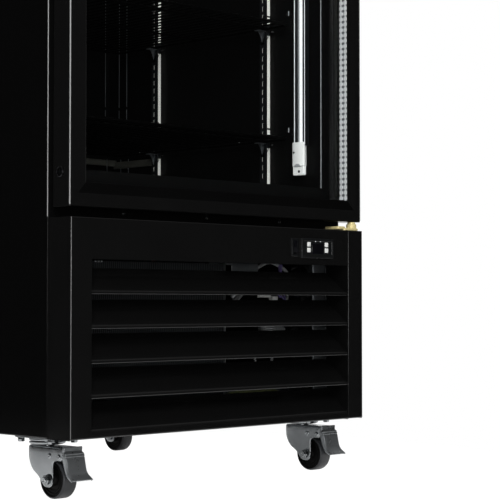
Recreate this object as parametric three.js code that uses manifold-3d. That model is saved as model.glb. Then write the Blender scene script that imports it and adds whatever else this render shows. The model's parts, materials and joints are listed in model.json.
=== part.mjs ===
// Refrigerated display case with one glass door, on four swivel casters.
// Millimetres, +Z up. The front faces -Y, and the origin lies on the floor under the middle.
import * as THREE from "three";
import { mergeVertices } from "three/addons/utils/BufferGeometryUtils.js";
import Module from "manifold-3d";

const wasm = await Module();
wasm.setup();

// Overall sizes. Heights are built up from the floor, depths run back from the front panel's face.
const cabinetWidth = 686;
const bodyDepth = 658;
const frontZoneDepth = 58;
const casterHeight = 98;
const baseHeight = 342;
const doorGap = 16;
const doorHeight = 1489;
const headerGap = 10;
const headerHeight = 130;
const handleReach = 46;

// Clearances, sheet gauges and the overrun of every cut
const seatGap = 0.3;
const runningGap = 1;
const skinGauge = 1.2;
const linerGauge = 1.5;
const bracketGauge = 4;
const overrun = 6;

// Insulated walls and the storage space
const sideWall = 48;
const backWall = 55;
const ceilingWall = 50;
const floorWall = 79;
const openingTopDrop = 50;

// Louvred front panel and hinge side stile
const stileWidth = 39;
const panelJoint = 0.6;
const louvreTopDrop = 64.7;
const louvreBottomMargin = 7.8;
const louvreGap = 10;
const firstLouvreGap = 14;
const louvreCount = 5;
const slatSetBack = 52;
const slatLip = 3;

// Header panel and base
const floorGauge = 3;
const runnerHeight = 18;
const runnerWidth = 30;
const grilleInset = 4;
const grilleSlotHeight = 9;
const grilleSlotCount = 8;
const grilleSlotMargin = 70;
const grilleTopMargin = 27.7;
const glandRadius = 14;
const glandBoreRadius = 6;
const glandLength = 10;
const glandInset = 60;
const glandRise = 40;

// Controller, its keys, and the rocker switch
const controllerWidth = 85;
const controllerHeight = 35;
const controllerRight = 83;
const controllerDrop = 18;
const controllerBezel = 3;
const controllerBezelLap = 3;
const controllerDepth = 52;
const keySize = 9.4;
const keyPitch = 10.2;
const keyEdgeInset = 14.5;
const keyDrop = 4.6;
const keyStand = 1.2;
const keyLength = 6;
const keyPocketDepth = 8;
const keyCollar = 1;
const switchWidth = 17.4;
const switchHeight = 32;
const switchSpacing = 7;
const switchDrop = 18.5;
const switchBezel = 2;
const switchBezelLap = 2;
const switchDepth = 24;
const switchRim = 2.2;
const rockerTravel = 16;
const rockerThickness = 7;
const rockerSink = 3;
const rockerBoreRadius = 2;

// Door
const doorSetBack = 4;
const doorThickness = 40;
const stileFace = 34.5;
const railFace = 39;
const frontLip = 3;
const glassInset = 2.5;
const glassEdge = 12;
const paneThickness = 4;
const spacerDepth = 20;
const spacerWidth = 7;
const gasketWidth = 18;
const gasketInset = 18;
const lockHeight = 54;
const lockRadius = 7;
const lockHeadRadius = 8.5;
const lockHead = 2.5;
const lockDepth = 20;
const keywayWidth = 1.6;
const keywayHeight = 7;
const keywayDepth = 6;
const handleRise = 674;
const handleLength = 280;
const handleWidth = 20;
const handleBar = 12;
const handleFoot = 24;
const handleRound = 5;

// Hinges
const pinInset = 16;
const pinSetBack = 13;
const pinRadius = 5;
const pinClearance = 0.4;
const pinReach = 20;
const bracketWidth = 40;
const bracketReach = 10;

// Pilasters, clips, shelves
const pilasterWidth = 20;
const pilasterDepth = 8;
const pilasterGauge = 1.5;
const pilasterFrontGap = 146;
const pilasterBackGap = 149;
const pilasterFloorGap = 14;
const pilasterSlotHeight = 9;
const pilasterSlotWidth = 4;
const pilasterSlotPitch = 50.8;
const clipReach = 14;
const clipWidth = 16;
const clipHeight = 22;
const clipGauge = 3;
const firstShelfRise = 93;
const secondShelfRise = 308;
const thirdShelfRise = 551;
const fourthShelfRise = 811;
const shelfSideGap = 10;
const shelfFrontGap = 72;
const shelfBackGap = 24;
const shelfRod = 7;
const shelfWire = 3.2;
const shelfWireSink = 0.6;
const shelfWireCount = 12;
const shelfCrossCount = 2;

// Lamp and rear duct panel
const lampSetBack = 50;
const lampWidth = 26;
const lampDepth = 12;
const lampFloorGap = 26;
const lampTopGap = 40;
const lampCap = 62;
const lampCapLap = 1.5;
const lampCoverWidth = 15;
const lampCoverRise = 5;
const ductGauge = 2;
const ductStand = 14;
const ductSideGap = 40;
const ductFloorGap = 79;
const ductTopGap = 40;
const ductRibWidth = 6;
const ductRibRise = 3;
const ductRibCount = 6;

// Evaporator
const evaporatorSideGap = 45;
const evaporatorDepth = 330;
const evaporatorHeight = 118;
const evaporatorBackGap = 16;
const evaporatorWall = 2;
const evaporatorFanRadius = 85;
const evaporatorFanInset = 110;
const coilDepth = 110;
const coilHeight = 90;
const coilFinPitch = 33;
const coilFin = 2.5;
const coilCoreShare = 0.5;
const fanTipGap = 5;
const fanHubRadius = 24;
const fanHubLength = 18;
const fanBladeGauge = 2;
const fanBladeCount = 5;
const fanBladeTilt = 28;
const motorRadius = 32;
const motorLength = 46;
const motorGap = 4;
const shaftRadius = 5;
const motorArm = 10;
const motorArmGauge = 4;
const motorArmCount = 3;

// Condensing unit
const condenserLeftGap = 45;
const condenserRightGap = 261;
const condenserSetBack = 34;
const condenserDepth = 40;
const condenserRise = 8;
const condenserHeight = 270;
const condenserPlate = 3;
const condenserFinPitch = 19;
const condenserFin = 1.6;
const shroudGap = 6;
const shroudDepth = 34;
const shroudWall = 2;
const condenserFanRadius = 112;
const compressorRightGap = 153;
const compressorBackGap = 296;
const compressorRadius = 88;
const compressorHeight = 205;
const compressorFootHeight = 22;
const compressorFootSpread = 190;
const compressorFootDepth = 120;
const compressorFootGauge = 4;
const lineRadius = 5;
const lineBend = 40;
const dischargeSteps = 22;
const suctionSteps = 18;
const boxWidth = 50;
const boxDepth = 58;
const boxHeight = 262;
const boxSideGap = 7;
const boxFrontGap = 8;
const panWidth = 240;
const panDepth = 230;
const panHeight = 40;
const panWall = 2;
const panBackGap = 24;
const panSideGap = 30;

// Casters
const casterSideInset = 43;
const frontCasterInset = 52;
const rearCasterInset = 56;
const wheelRadius = 31;
const wheelWidth = 23;
const wheelTrail = 28;
const wheelHubRadius = 12;
const wheelBevel = 2;
const axleRadius = 4;
const axleClearance = 0.4;
const axleHeadRadius = 8;
const axleHeadLength = 10;
const forkHalfWidth = 18;
const forkGauge = 2.5;
const forkTopDrop = 14;
const forkRear = 27;
const forkFront = 58;
const forkLegRadius = 13;
const forkArchRise = 27;
const forkFrontDrop = 22;
const kingpinRadius = 6;
const raceRadius = 24;
const plateLength = 94;
const plateWidth = 66;
const plateGauge = 3;
const boltRadius = 6;
const boltHead = 5;
const boltSpacingLong = 60;
const boltSpacingWide = 46;
const pedalHalfWidth = 24;
const pedalGauge = 2.5;
const pedalPivotAhead = 50;
const pedalPivotDrop = 16;
const pedalCheekGauge = 2;
const pedalPinRadius = 3;
const pedalAhead = 62;
const pedalReach = 35;
const pedalTopDrop = 3;
const pedalFall = 50;
const pedalBendShares = [
  [0, 0],
  [0.09, 0.16],
  [0.2, 0.38],
  [0.26, 0.58],
  [0.37, 0.76],
  [0.6, 0.9],
  [1, 1],
];

// Facets of round shapes
const wheelFacets = 24;
const roundFacets = 18;
const smallFacets = 10;
const cornerFacets = 3;
const legFacets = 6;
const tubeFacets = 3;
const boltFacets = 6;

// Corners closer than this are one corner
const mergeShare = 1e-4;

// Derived heights and depths
const halfWidth = cabinetWidth / 2;
const baseTop = casterHeight + baseHeight;
const doorBottom = baseTop + doorGap;
const doorTop = doorBottom + doorHeight;
const headerBottom = doorTop + headerGap;
const caseTop = headerBottom + headerHeight;
const bodyFront = frontZoneDepth;
const bodyBack = frontZoneDepth + bodyDepth;
const innerHalf = halfWidth - sideWall;
const innerBack = bodyBack - backWall;
const innerFloor = baseTop + floorWall;
const innerCeiling = caseTop - ceilingWall;
const openingTop = doorTop - openingTopDrop;
const doorBack = doorSetBack + doorThickness;
const handleFront = doorSetBack - handleReach;
const frontShift = -(bodyBack + handleFront) / 2;
const floorTop = casterHeight + floorGauge;
const unitFloor = floorTop + seatGap;
const shelfHeights = [firstShelfRise, secondShelfRise, thirdShelfRise, fourthShelfRise].map(
  (rise) => innerFloor + rise,
);
const handleHeight = doorBottom + handleRise;

// Materials, with the colours of the real finishes
function finish(colour, roughness, metalness) {
  return new THREE.MeshStandardMaterial({ color: colour, roughness, metalness });
}

const blackSteel = () => finish(0x111112, 0.4, 0.2);
const blackPlastic = () => finish(0x161616, 0.55, 0);
const linerBlack = () => finish(0x1b1b1c, 0.5, 0.1);
const foam = () => finish(0xd8cfa8, 0.9, 0);
const zinc = () => finish(0x9a9ea0, 0.35, 0.9);
const yellowZinc = () => finish(0xbfae72, 0.35, 0.9);
const aluminium = () => finish(0xc4c7c9, 0.3, 0.9);
const copper = () => finish(0xb87333, 0.3, 0.9);
const wheelRubber = () => finish(0x1e1e1f, 0.7, 0);
const clearGlass = () => finish(0xdfe8ea, 0.05, 0);
const whitePlastic = () => finish(0xeff1f1, 0.4, 0);
const greyPlastic = () => finish(0x55585a, 0.5, 0);
const gasketRubber = () => finish(0x1a1a1a, 0.8, 0);

const cabinet = new THREE.Group();
cabinet.position.y = frontShift;

// Adds a named piece to a group, at a place in that group
function addPiece(name, geometry, material, group = cabinet, place = [0, 0, 0]) {
  const mesh = new THREE.Mesh(geometry, material);
  mesh.name = name;
  mesh.position.set(...place);
  group.add(mesh);
  return mesh;
}

// Turns a closed geometry into a solid for joining and cutting, without the flat triangles of poles
function solid(geometry) {
  const bare = geometry.index ? geometry.toNonIndexed() : geometry.clone();
  bare.deleteAttribute("normal");
  bare.deleteAttribute("uv");
  const merged = mergeVertices(bare, mergeShare);
  const corners = Array.from(merged.index.array);
  const kept = [];
  for (let at = 0; at < corners.length; at += 3) {
    const [a, b, c] = corners.slice(at, at + 3);
    if (a !== b && b !== c && c !== a) kept.push(a, b, c);
  }
  return new wasm.Manifold(
    new wasm.Mesh({
      numProp: 3,
      vertProperties: new Float32Array(merged.attributes.position.array),
      triVerts: new Uint32Array(kept),
    }),
  );
}

// Turns a joined or cut solid back into a geometry
function geometryOf(shape) {
  const mesh = shape.getMesh();
  const geometry = new THREE.BufferGeometry();
  geometry.setAttribute("position", new THREE.BufferAttribute(new Float32Array(mesh.vertProperties), 3));
  geometry.setIndex(new THREE.BufferAttribute(new Uint32Array(mesh.triVerts), 1));
  geometry.computeVertexNormals();
  return geometry;
}

// A block between two corners
function block(x0, x1, y0, y1, z0, z1) {
  const box = new THREE.BoxGeometry(x1 - x0, y1 - y0, z1 - z0);
  box.translate((x0 + x1) / 2, (y0 + y1) / 2, (z0 + z1) / 2);
  return box;
}

const blockSolid = (...corners) => solid(block(...corners));

// An outline drawn in X and Z, pushed back along Y from y0 to y1
function slabY(outline, y0, y1, facets = smallFacets) {
  const geometry = new THREE.ExtrudeGeometry(outline, {
    depth: y1 - y0,
    bevelEnabled: false,
    curveSegments: facets,
  });
  geometry.rotateX(Math.PI / 2);
  geometry.translate(0, y1, 0);
  return geometry;
}

// An outline drawn in Y and Z, pushed along X from x0 to x1
function slabX(outline, x0, x1, facets = smallFacets) {
  const geometry = new THREE.ExtrudeGeometry(outline, {
    depth: x1 - x0,
    bevelEnabled: false,
    curveSegments: facets,
  });
  geometry.rotateY(Math.PI / 2);
  geometry.rotateX(Math.PI / 2);
  geometry.translate(x0, 0, 0);
  return geometry;
}

// An outline drawn in X and Y, raised from z0 to z1
function slabZ(outline, z0, z1, facets = smallFacets) {
  const geometry = new THREE.ExtrudeGeometry(outline, {
    depth: z1 - z0,
    bevelEnabled: false,
    curveSegments: facets,
  });
  geometry.translate(0, 0, z0);
  return geometry;
}

// A round bar along an axis, from its start point over its length
function bar(axis, start, radius, length, facets = smallFacets) {
  const geometry = new THREE.CylinderGeometry(radius, radius, length, facets);
  if (axis === "x") geometry.rotateZ(-Math.PI / 2);
  if (axis === "z") geometry.rotateX(Math.PI / 2);
  const half = length / 2;
  const middle = {
    x: [start[0] + half, start[1], start[2]],
    y: [start[0], start[1] + half, start[2]],
    z: [start[0], start[1], start[2] + half],
  }[axis];
  geometry.translate(...middle);
  return geometry;
}

const barSolid = (...values) => solid(bar(...values));

// An outline from points
function outlineOf(points) {
  return new THREE.Shape(points.map(([u, v]) => new THREE.Vector2(u, v)));
}

// A rectangle with round corners, drawn about a middle
function roundRectangle(u, v, width, height, radius) {
  const shape = new THREE.Shape();
  const left = u - width / 2;
  const right = u + width / 2;
  const low = v - height / 2;
  const high = v + height / 2;
  shape.moveTo(left + radius, low);
  shape.lineTo(right - radius, low);
  shape.absarc(right - radius, low + radius, radius, -Math.PI / 2, 0, false);
  shape.lineTo(right, high - radius);
  shape.absarc(right - radius, high - radius, radius, 0, Math.PI / 2, false);
  shape.lineTo(left + radius, high);
  shape.absarc(left + radius, high - radius, radius, Math.PI / 2, Math.PI, false);
  shape.lineTo(left, low + radius);
  shape.absarc(left + radius, low + radius, radius, Math.PI, Math.PI * 1.5, false);
  return shape;
}

// A tube of round section along a smooth route
function tubeAlong(points, radius, steps) {
  const curve = new THREE.CatmullRomCurve3(
    points.map((point) => new THREE.Vector3(...point)),
    false,
    "centripetal",
  );
  const section = new THREE.Shape();
  section.absarc(0, 0, radius, 0, Math.PI * 2, false);
  return new THREE.ExtrudeGeometry(section, { steps, extrudePath: curve, curveSegments: tubeFacets });
}

// A rectangular ring in X and Z, from y0 to y1
function ring(halfX, z0, z1, sideFace, endFace, y0, y1) {
  return blockSolid(-halfX, halfX, y0, y1, z0, z1).subtract(
    blockSolid(
      -halfX + sideFace,
      halfX - sideFace,
      y0 - overrun,
      y1 + overrun,
      z0 + endFace,
      z1 - endFace,
    ),
  );
}

// Outer case: two sides, top and back in folded sheet, open at the front and under the base
function buildOuterCase() {
  const hollow = blockSolid(
    -halfWidth + skinGauge,
    halfWidth - skinGauge,
    bodyFront - overrun,
    bodyBack - skinGauge,
    casterHeight - overrun,
    caseTop - skinGauge,
  );
  const rearDoorway = blockSolid(
    -halfWidth + skinGauge,
    halfWidth - skinGauge,
    bodyBack - skinGauge - overrun,
    bodyBack + overrun,
    casterHeight - overrun,
    baseTop,
  );
  const shell = blockSolid(-halfWidth, halfWidth, bodyFront, bodyBack, casterHeight, caseTop)
    .subtract(hollow)
    .subtract(rearDoorway);
  addPiece("outer_case", geometryOf(shell), blackSteel());
}

// Liner: the storage space's own walls, with a front flange that the gasket closes against
function buildLiner() {
  const flangeHalf = halfWidth - skinGauge - seatGap;
  const flangeTop = caseTop - skinGauge - seatGap;
  const shell = blockSolid(
    -innerHalf - linerGauge,
    innerHalf + linerGauge,
    bodyFront,
    innerBack + linerGauge,
    innerFloor - linerGauge,
    innerCeiling + linerGauge,
  )
    .add(blockSolid(-flangeHalf, flangeHalf, bodyFront, bodyFront + linerGauge, baseTop, flangeTop))
    .subtract(
      blockSolid(
        -innerHalf,
        innerHalf,
        bodyFront + linerGauge,
        innerBack,
        innerFloor,
        innerCeiling,
      ),
    )
    .subtract(
      blockSolid(
        -innerHalf,
        innerHalf,
        bodyFront - overrun,
        bodyFront + linerGauge + overrun,
        innerFloor,
        openingTop,
      ),
    );
  addPiece("inner_liner", geometryOf(shell), linerBlack());
}

// Insulation: the foam between the outer case and the liner
function buildInsulation() {
  const skinFace = skinGauge + seatGap;
  const linerFace = linerGauge + seatGap;
  const body = blockSolid(
    -halfWidth + skinFace,
    halfWidth - skinFace,
    bodyFront + linerFace,
    bodyBack - skinFace,
    baseTop,
    caseTop - skinFace,
  ).subtract(
    blockSolid(
      -innerHalf - linerFace,
      innerHalf + linerFace,
      bodyFront - overrun,
      innerBack + linerFace,
      innerFloor - linerFace,
      innerCeiling + linerFace,
    ),
  );
  addPiece("insulation", geometryOf(body), foam());
}

// Header panel: a folded pan above the door, level with the louvred panel below
function buildHeader() {
  const back = bodyFront - seatGap;
  const pan = blockSolid(-halfWidth, halfWidth, 0, back, headerBottom, caseTop).subtract(
    blockSolid(
      -halfWidth + skinGauge,
      halfWidth - skinGauge,
      skinGauge,
      back + overrun,
      headerBottom + skinGauge,
      caseTop - skinGauge,
    ),
  );
  addPiece("header_panel", geometryOf(pan), blackSteel());
}

// One louvre slat: it leans back at the top and ends in a lip at the face of the panel
function slat(index) {
  const lowEdge = louvreTop - louvrePitch * (index + 1);
  const gap = index === 0 ? firstLouvreGap : louvreGap;
  const highEdge = louvreTop - louvrePitch * index - gap;
  const outline = outlineOf([
    [0, lowEdge],
    [skinGauge, lowEdge],
    [skinGauge, lowEdge + slatLip],
    [slatSetBack, highEdge - skinGauge],
    [slatSetBack, highEdge],
    [0, lowEdge + slatLip + skinGauge],
  ]);
  return solid(slabX(outline, -louvreHalf - skinGauge, louvreHalf + skinGauge));
}

const louvreTop = baseTop - louvreTopDrop;
const louvreBottom = casterHeight + louvreBottomMargin;
const louvrePitch = (louvreTop - louvreBottom) / louvreCount;
const stileLeft = halfWidth - stileWidth;
const louvreRight = stileLeft - panelJoint;
const louvreHalf = louvreRight - skinGauge - panelJoint;
const controllerX = halfWidth - controllerRight - controllerWidth / 2;
const controllerZ = baseTop - controllerDrop - controllerHeight / 2;
const switchX = controllerX - controllerWidth / 2 - switchSpacing - switchWidth / 2;
const switchZ = baseTop - switchDrop - switchHeight / 2;

// Louvred front panel: a folded pan with sloping slats, and cut-outs for controller and switch
function buildLouvrePanel() {
  const back = bodyFront - seatGap;
  let pan = blockSolid(-halfWidth, louvreRight, 0, back, casterHeight, baseTop).subtract(
    blockSolid(
      -halfWidth + skinGauge,
      louvreRight + overrun,
      skinGauge,
      back + overrun,
      casterHeight + skinGauge,
      baseTop - skinGauge,
    ),
  );
  pan = pan.subtract(
    blockSolid(-louvreHalf, louvreHalf, -overrun, skinGauge + overrun, louvreBottom, louvreTop),
  );
  for (const side of [-1, 1]) {
    const inner = side * louvreHalf;
    const outer = side * (louvreHalf + skinGauge);
    pan = pan.add(
      blockSolid(
        Math.min(inner, outer),
        Math.max(inner, outer),
        0,
        slatSetBack,
        louvreBottom - skinGauge,
        louvreTop + skinGauge,
      ),
    );
  }
  for (let index = 0; index < louvreCount; index += 1) pan = pan.add(slat(index));
  const cutOuts = [
    [controllerX, controllerZ, controllerWidth, controllerHeight, controllerBezelLap],
    [switchX, switchZ, switchWidth, switchHeight, switchBezelLap],
  ];
  for (const [x, z, width, height, lap] of cutOuts) {
    pan = pan.subtract(
      blockSolid(
        x - width / 2 + lap,
        x + width / 2 - lap,
        -overrun,
        skinGauge + overrun,
        z - height / 2 + lap,
        z + height / 2 - lap,
      ),
    );
  }
  addPiece("louvre_panel", geometryOf(pan), blackSteel());
}

// Hinge side stile: the narrow folded post at the right of the louvred panel
function buildHingeStile() {
  const back = bodyFront - seatGap;
  const post = blockSolid(stileLeft, halfWidth, 0, back, casterHeight, baseTop).subtract(
    blockSolid(
      stileLeft + skinGauge,
      halfWidth - skinGauge,
      skinGauge,
      back + overrun,
      casterHeight + skinGauge,
      baseTop - skinGauge,
    ),
  );
  addPiece("hinge_side_stile", geometryOf(post), blackSteel());
}

// Base floor: the plate that carries the condensing unit, stiffened by two runners on it
function buildBaseFloor() {
  const half = halfWidth - skinGauge - seatGap;
  const back = bodyBack - skinGauge - seatGap;
  let floor = blockSolid(-half, half, bodyFront, back, casterHeight, floorTop);
  const runnerTop = floorTop + runnerHeight;
  for (const start of [bodyFront, back - runnerWidth]) {
    for (const y of [start, start + runnerWidth - floorGauge]) {
      floor = floor.add(blockSolid(-half, half, y, y + floorGauge, casterHeight, runnerTop));
    }
  }
  addPiece("base_floor", geometryOf(floor), zinc());
}

// Rear grille: a slotted plate with the gland of the mains lead
function buildRearGrille() {
  const half = halfWidth - skinGauge - seatGap;
  const front = bodyBack - skinGauge;
  const low = floorTop + runnerHeight + seatGap;
  const high = baseTop - grilleInset;
  const slotRoom = high - low - glandRise - grilleTopMargin - grilleSlotHeight;
  let plate = blockSolid(-half, half, front, bodyBack, low, high);
  for (let row = 0; row < grilleSlotCount; row += 1) {
    const z = low + glandRise + (slotRoom * (row + 1)) / grilleSlotCount;
    plate = plate.subtract(
      blockSolid(
        -half + grilleSlotMargin,
        half - grilleSlotMargin,
        front - overrun,
        bodyBack + overrun,
        z,
        z + grilleSlotHeight,
      ),
    );
  }
  const glandX = half - glandInset;
  const glandZ = low + glandRise / 2;
  const glandStart = bodyBack - glandLength;
  plate = plate
    .add(barSolid("y", [glandX, glandStart, glandZ], glandRadius, glandLength, roundFacets))
    .subtract(
      barSolid(
        "y",
        [glandX, glandStart - overrun, glandZ],
        glandBoreRadius,
        glandLength + 2 * overrun,
      ),
    );
  addPiece("rear_grille", geometryOf(plate), blackSteel());
}

// Controller: a bezel on the panel's face, a body behind it, and four pockets for its keys
const keyPlaces = [-1, 1].flatMap((side) =>
  [0, 1].map((row) => [
    controllerX + side * (controllerWidth / 2 - keyEdgeInset - keySize / 2),
    controllerZ + controllerHeight / 2 - keyDrop - keySize / 2 - row * keyPitch - keyCollar,
  ]),
);

function buildController() {
  const lap = controllerBezelLap + seatGap;
  let body = blockSolid(
    controllerX - controllerWidth / 2,
    controllerX + controllerWidth / 2,
    -seatGap - controllerBezel,
    -seatGap,
    controllerZ - controllerHeight / 2,
    controllerZ + controllerHeight / 2,
  ).add(
    blockSolid(
      controllerX - controllerWidth / 2 + lap,
      controllerX + controllerWidth / 2 - lap,
      -seatGap - controllerBezel,
      controllerDepth,
      controllerZ - controllerHeight / 2 + lap,
      controllerZ + controllerHeight / 2 - lap,
    ),
  );
  const pocketHalf = keySize / 2 + seatGap;
  const face = -seatGap - controllerBezel;
  for (const [x, z] of keyPlaces) {
    body = body.subtract(
      blockSolid(
        x - pocketHalf,
        x + pocketHalf,
        face - overrun,
        face + keyPocketDepth,
        z - pocketHalf,
        z + pocketHalf,
      ),
    );
  }
  addPiece("controller_case", geometryOf(body), blackPlastic());
  keyPlaces.forEach(([x, z], index) => {
    const key = block(
      x - keySize / 2,
      x + keySize / 2,
      face - keyStand,
      face - keyStand + keyLength,
      z - keySize / 2,
      z + keySize / 2,
    );
    addPiece(`controller_key_${index + 1}`, key, whitePlastic());
  });
}

// Rocker switch: a snapped-in frame with a through opening, and the rocker that tips in it
function buildSwitch() {
  const lap = switchBezelLap + seatGap;
  const body = blockSolid(
    switchX - switchWidth / 2,
    switchX + switchWidth / 2,
    -seatGap - switchBezel,
    -seatGap,
    switchZ - switchHeight / 2,
    switchZ + switchHeight / 2,
  )
    .add(
      blockSolid(
        switchX - switchWidth / 2 + lap,
        switchX + switchWidth / 2 - lap,
        -seatGap - switchBezel,
        switchDepth,
        switchZ - switchHeight / 2 + lap,
        switchZ + switchHeight / 2 - lap,
      ),
    )
    .subtract(
      blockSolid(
        switchX - rockerHalfWidth - seatGap,
        switchX + rockerHalfWidth + seatGap,
        -overrun,
        switchDepth - switchRim,
        switchZ - rockerHalfHeight - runningGap,
        switchZ + rockerHalfHeight + runningGap,
      ),
    )
    .add(
      barSolid(
        "x",
        [switchX - rockerHalfWidth - runningGap, rockerPivotY, switchZ],
        rockerBoreRadius,
        2 * (rockerHalfWidth + runningGap),
      ),
    );
  addPiece("switch_frame", geometryOf(body), blackPlastic());

  const holder = new THREE.Group();
  holder.position.set(switchX, rockerPivotY, switchZ);
  holder.rotation.x = THREE.MathUtils.degToRad(-rockerTravel / 2);
  cabinet.add(holder);
  const front = -rockerPivotY - switchBezel;
  const outline = outlineOf([
    [front - rockerSink, rockerHalfHeight],
    [front, 0],
    [front - rockerSink, -rockerHalfHeight],
    [front + rockerThickness, -rockerHalfHeight],
    [front + rockerThickness + rockerSink, 0],
    [front + rockerThickness, rockerHalfHeight],
  ]);
  const bore = barSolid(
    "x",
    [-rockerHalfWidth - overrun, 0, 0],
    rockerBoreRadius + seatGap,
    2 * (rockerHalfWidth + overrun),
  );
  const rocker = solid(slabX(outline, -rockerHalfWidth, rockerHalfWidth)).subtract(bore);
  addPiece("switch_rocker", geometryOf(rocker), blackPlastic(), holder);
}

const rockerHalfWidth = switchWidth / 2 - switchBezelLap - seatGap - switchRim;
const rockerHalfHeight = switchHeight / 2 - switchBezelLap - seatGap - switchRim - runningGap;
const rockerPivotY = rockerSink;

// Door: a mitred frame with a glazing groove, two panes with their spacer, gasket and handle
const pinX = halfWidth - pinInset;
const glassHalf = halfWidth - stileFace + glassEdge;
const glassLow = doorBottom + railFace - glassEdge;
const glassHigh = doorTop - railFace + glassEdge;
const outerPaneFront = doorSetBack + frontLip + seatGap;
const spacerFront = outerPaneFront + paneThickness + seatGap;
const innerPaneFront = spacerFront + spacerDepth + seatGap;
const innerPaneBack = innerPaneFront + paneThickness;
const lockY = doorSetBack + doorThickness / 2 + frontLip;
const lockZ = doorBottom + lockHeight;

function buildDoorFrame() {
  const groove = blockSolid(
    -glassHalf - seatGap,
    glassHalf + seatGap,
    outerPaneFront - seatGap,
    innerPaneBack + seatGap,
    glassLow - seatGap,
    glassHigh + seatGap,
  );
  let frame = ring(
    halfWidth,
    doorBottom,
    doorTop,
    stileFace,
    railFace,
    doorSetBack,
    doorBack,
  ).subtract(groove);
  for (const z of [doorBottom - overrun, doorTop - pinReach]) {
    frame = frame.subtract(
      barSolid("z", [pinX, pinSetBack, z], pinRadius + pinClearance, pinReach + overrun, roundFacets),
    );
  }
  frame = frame.subtract(
    barSolid(
      "x",
      [-halfWidth - overrun, lockY, lockZ],
      lockRadius + seatGap,
      overrun + lockDepth + seatGap,
      roundFacets,
    ),
  );
  addPiece("door_frame", geometryOf(frame), blackSteel());
}

function buildGlazing() {
  for (const [name, front] of [
    ["outer_pane", outerPaneFront],
    ["inner_pane", innerPaneFront],
  ]) {
    addPiece(
      name,
      block(-glassHalf, glassHalf, front, front + paneThickness, glassLow, glassHigh),
      clearGlass(),
    );
  }
  const spacerHalf = halfWidth - stileFace + glassInset + spacerWidth;
  const spacerDrop = glassInset + spacerWidth;
  const spacer = ring(
    spacerHalf,
    doorBottom + railFace - spacerDrop,
    doorTop - railFace + spacerDrop,
    spacerWidth,
    spacerWidth,
    spacerFront,
    spacerFront + spacerDepth,
  );
  addPiece("glass_spacer", geometryOf(spacer), aluminium());
}

function buildGasket() {
  const seal = ring(
    halfWidth - gasketInset,
    doorBottom + gasketInset,
    doorTop - gasketInset,
    gasketWidth,
    gasketWidth,
    doorBack + seatGap,
    bodyFront - seatGap,
  );
  addPiece("door_gasket", geometryOf(seal), gasketRubber());
}

function buildLock() {
  const plug = barSolid(
    "x",
    [-halfWidth - lockHead, lockY, lockZ],
    lockRadius,
    lockHead + lockDepth,
    roundFacets,
  )
    .add(
      barSolid(
        "x",
        [-halfWidth - lockHead, lockY, lockZ],
        lockHeadRadius,
        lockHead - seatGap,
        roundFacets,
      ),
    )
    .subtract(
      blockSolid(
        -halfWidth - lockHead - overrun,
        -halfWidth - lockHead + keywayDepth,
        lockY - keywayWidth / 2,
        lockY + keywayWidth / 2,
        lockZ - keywayHeight / 2,
        lockZ + keywayHeight / 2,
      ),
    );
  addPiece("lock_plug", geometryOf(plug), zinc());
}

// Handle: a flat upright grip with round edges, on two feet screwed to the free stile
function buildHandle() {
  const x = -halfWidth + stileFace / 2;
  const face = doorSetBack - seatGap;
  const low = handleHeight - handleLength / 2;
  const high = handleHeight + handleLength / 2;
  let handle = solid(
    slabY(
      roundRectangle(x, handleHeight, handleWidth, handleLength, handleRound),
      handleFront,
      handleFront + handleBar,
      cornerFacets,
    ),
  );
  const wide = handleWidth / 2;
  const footprint = solid(
    slabY(
      roundRectangle(x, handleHeight, handleWidth, handleLength, handleRound),
      handleFront,
      face + overrun,
      cornerFacets,
    ),
  );
  for (const z of [low, high - handleFoot]) {
    const foot = blockSolid(x - wide, x + wide, handleFront + handleBar / 2, face, z, z + handleFoot);
    handle = handle.add(foot.intersect(footprint));
  }
  addPiece("door_handle", geometryOf(handle), blackPlastic());
}

// Hinge brackets: a plate on the base or under the header, with the pin that the door turns on
function buildHinges() {
  const right = pinX + bracketReach;
  const left = right - bracketWidth;
  const front = pinSetBack - bracketReach;
  const back = bodyFront - seatGap;
  const lowPlate = baseTop + seatGap;
  const lower = blockSolid(left, right, front, back, lowPlate, lowPlate + bracketGauge).add(
    barSolid(
      "z",
      [pinX, pinSetBack, lowPlate],
      pinRadius,
      doorBottom - lowPlate + pinReach - runningGap,
      roundFacets,
    ),
  );
  addPiece("bottom_hinge_bracket", geometryOf(lower), yellowZinc());
  const highPlate = headerBottom - seatGap;
  const pinLow = doorTop - pinReach + runningGap;
  const upper = blockSolid(left, right, front, back, highPlate - bracketGauge, highPlate).add(
    barSolid("z", [pinX, pinSetBack, pinLow], pinRadius, highPlate - pinLow, roundFacets),
  );
  addPiece("top_hinge_bracket", geometryOf(upper), yellowZinc());
}

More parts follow.
